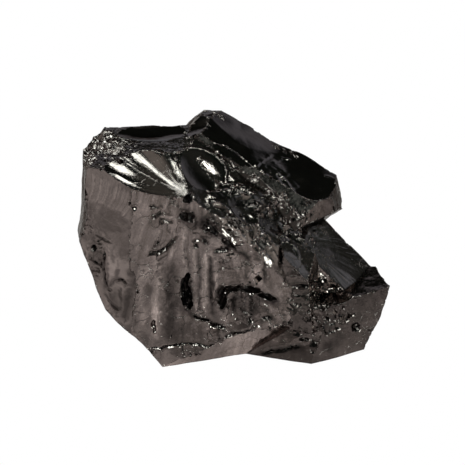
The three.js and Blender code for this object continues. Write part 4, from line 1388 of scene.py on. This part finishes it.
# one glow: its brightness, fading out softly across its rim in turn and in height
def glowLight(tree, glow, wayX, wayY, wayZ, rise):
    a = math.radians(glow["turn"])
    along = calculate(tree, "MULTIPLY_ADD", wayX, math.sin(a), calculate(tree, "MULTIPLY", wayY, math.cos(a)))
    level = calculate(tree, "SUBTRACT", 1.0, calculate(tree, "MULTIPLY", wayZ, wayZ))
    share = calculate(tree, "DIVIDE", along, calculate(tree, "SQRT", level))
    turned = calculate(tree, "MULTIPLY", calculate(tree, "ARCCOSINE", share), 180 / math.pi)
    off = calculate(tree, "ABSOLUTE", calculate(tree, "SUBTRACT", rise, float(glow["height"])))
    softAcross, softUp = room["softAcross"] * glow["across"], room["softUp"] * glow["up"]
    inTurn = softRange(tree, turned, glow["across"] - softAcross, glow["across"] + softAcross,
                       glow["brightness"], 0.0)
    inRise = softRange(tree, off, glow["up"] - softUp, glow["up"] + softUp, 1.0, 0.0)
    amount = calculate(tree, "MULTIPLY", inTurn, inRise)
    lit = node(tree, "ShaderNodeVectorMath", {0: glow["colour"], "Scale": amount}, operation="SCALE")
    return lit.outputs[0]


# the room: the sum of all glows over a dim ground, for all but the camera
def studioRoom():
    world = bpy.data.worlds.new("studio")
    tree = emptyTree(world)
    way = node(tree, "ShaderNodeTexCoord").outputs["Generated"]
    wayX, wayY, wayZ = node(tree, "ShaderNodeSeparateXYZ", {0: way}).outputs
    rise = calculate(tree, "MULTIPLY", calculate(tree, "ARCSINE", wayZ), 180 / math.pi)
    total = glowLight(tree, room["glows"][0], wayX, wayY, wayZ, rise)
    for glow in room["glows"][1:]:
        total = onVectors(tree, "ADD", total, glowLight(tree, glow, wayX, wayY, wayZ, rise))
    total = onVectors(tree, "ADD", total, room["dim"])
    mirrored = node(tree, "ShaderNodeBackground", {"Color": total})
    seen = node(tree, "ShaderNodeBackground", {"Color": (1, 1, 1, 1)})
    showOneOrOther(tree, "ShaderNodeOutputWorld", seen, mirrored)
    return world


bpy.context.scene.world = studioRoom()


# Lamp panels, each with its compass turn and height in degrees, its size in metres,
# its brightness and its tip about the way to the stone. The colour looks warm white
# once the stone has mirrored it.
lamps = {
    "overheadStrip": {"turn": -8, "height": 65, "size": (0.85, 0.065), "brightness": 12},
    "backStrip": {"turn": 28, "height": 40, "size": (0.05, 0.12), "brightness": 14},
    "leftPanel": {"turn": -79, "height": 57, "size": (0.1, 0.035), "brightness": 16, "tip": -15},
    "rightKey": {"turn": 50.5, "height": 34.5, "size": (0.036, 0.026), "brightness": 34, "tip": 20},
    "leftGlint": {"turn": -80, "height": 30, "size": (0.06, 0.06), "brightness": 30},
    "frontGlint": {"turn": 175, "height": 45, "size": (0.1, 0.1), "brightness": 30},
    "lipLight": {"turn": 97, "height": 48, "size": (0.16, 0.16), "brightness": 1.0},
    "ridgeGlint": {"turn": 136, "height": 7, "size": (0.2, 0.11), "brightness": 18},
    "skyGlint": {"turn": 125, "height": 62, "size": (0.09, 0.09), "brightness": 30},
}
lampStand = {"away": 0.6, "aimHeight": 0.02, "colour": (0.86, 1.0, 0.96)}


# a soft lamp panel off the stone: power = brightness * pi * width * height
def lampPanel(name, turn, height, size, brightness, tip=0):
    lamp = bpy.data.lights.new(name, "AREA")
    lamp.shape = "RECTANGLE"
    lamp.size, lamp.size_y = size
    lamp.energy = brightness * math.pi * size[0] * size[1]
    lamp.color = lampStand["colour"]
    made = bpy.data.objects.new(name, lamp)
    made.visible_camera = False
    bpy.context.scene.collection.objects.link(made)
    a, e = math.radians(turn), math.radians(height)
    way = Vector((math.sin(a) * math.cos(e), math.cos(a) * math.cos(e), math.sin(e)))
    made.location = Vector((0, 0, lampStand["aimHeight"])) + lampStand["away"] * way
    facing = (-way).to_track_quat("-Z", "Y").to_matrix().to_4x4()
    tipped = Matrix.Rotation(math.radians(tip), 4, "Z")
    made.matrix_world = Matrix.Translation(made.location) @ facing @ tipped


for name, lamp in lamps.items():
    lampPanel(name, **lamp)
print("lights set")

camera = bpy.data.cameras.new("camera")
camera.lens, camera.sensor_width = viewLook["lens"], viewLook["sensor"]
camera.clip_start, camera.clip_end = 0.01, 20
eyeObject = bpy.data.objects.new("camera", camera)
eyeObject.location = (viewEye - boxMiddle) * mm
eyeObject.rotation_euler = (math.pi / 2 - viewRise, 0, 0)
bpy.context.scene.collection.objects.link(eyeObject)
bpy.context.scene.camera = eyeObject
bpy.context.scene.view_settings.view_transform = "Standard"
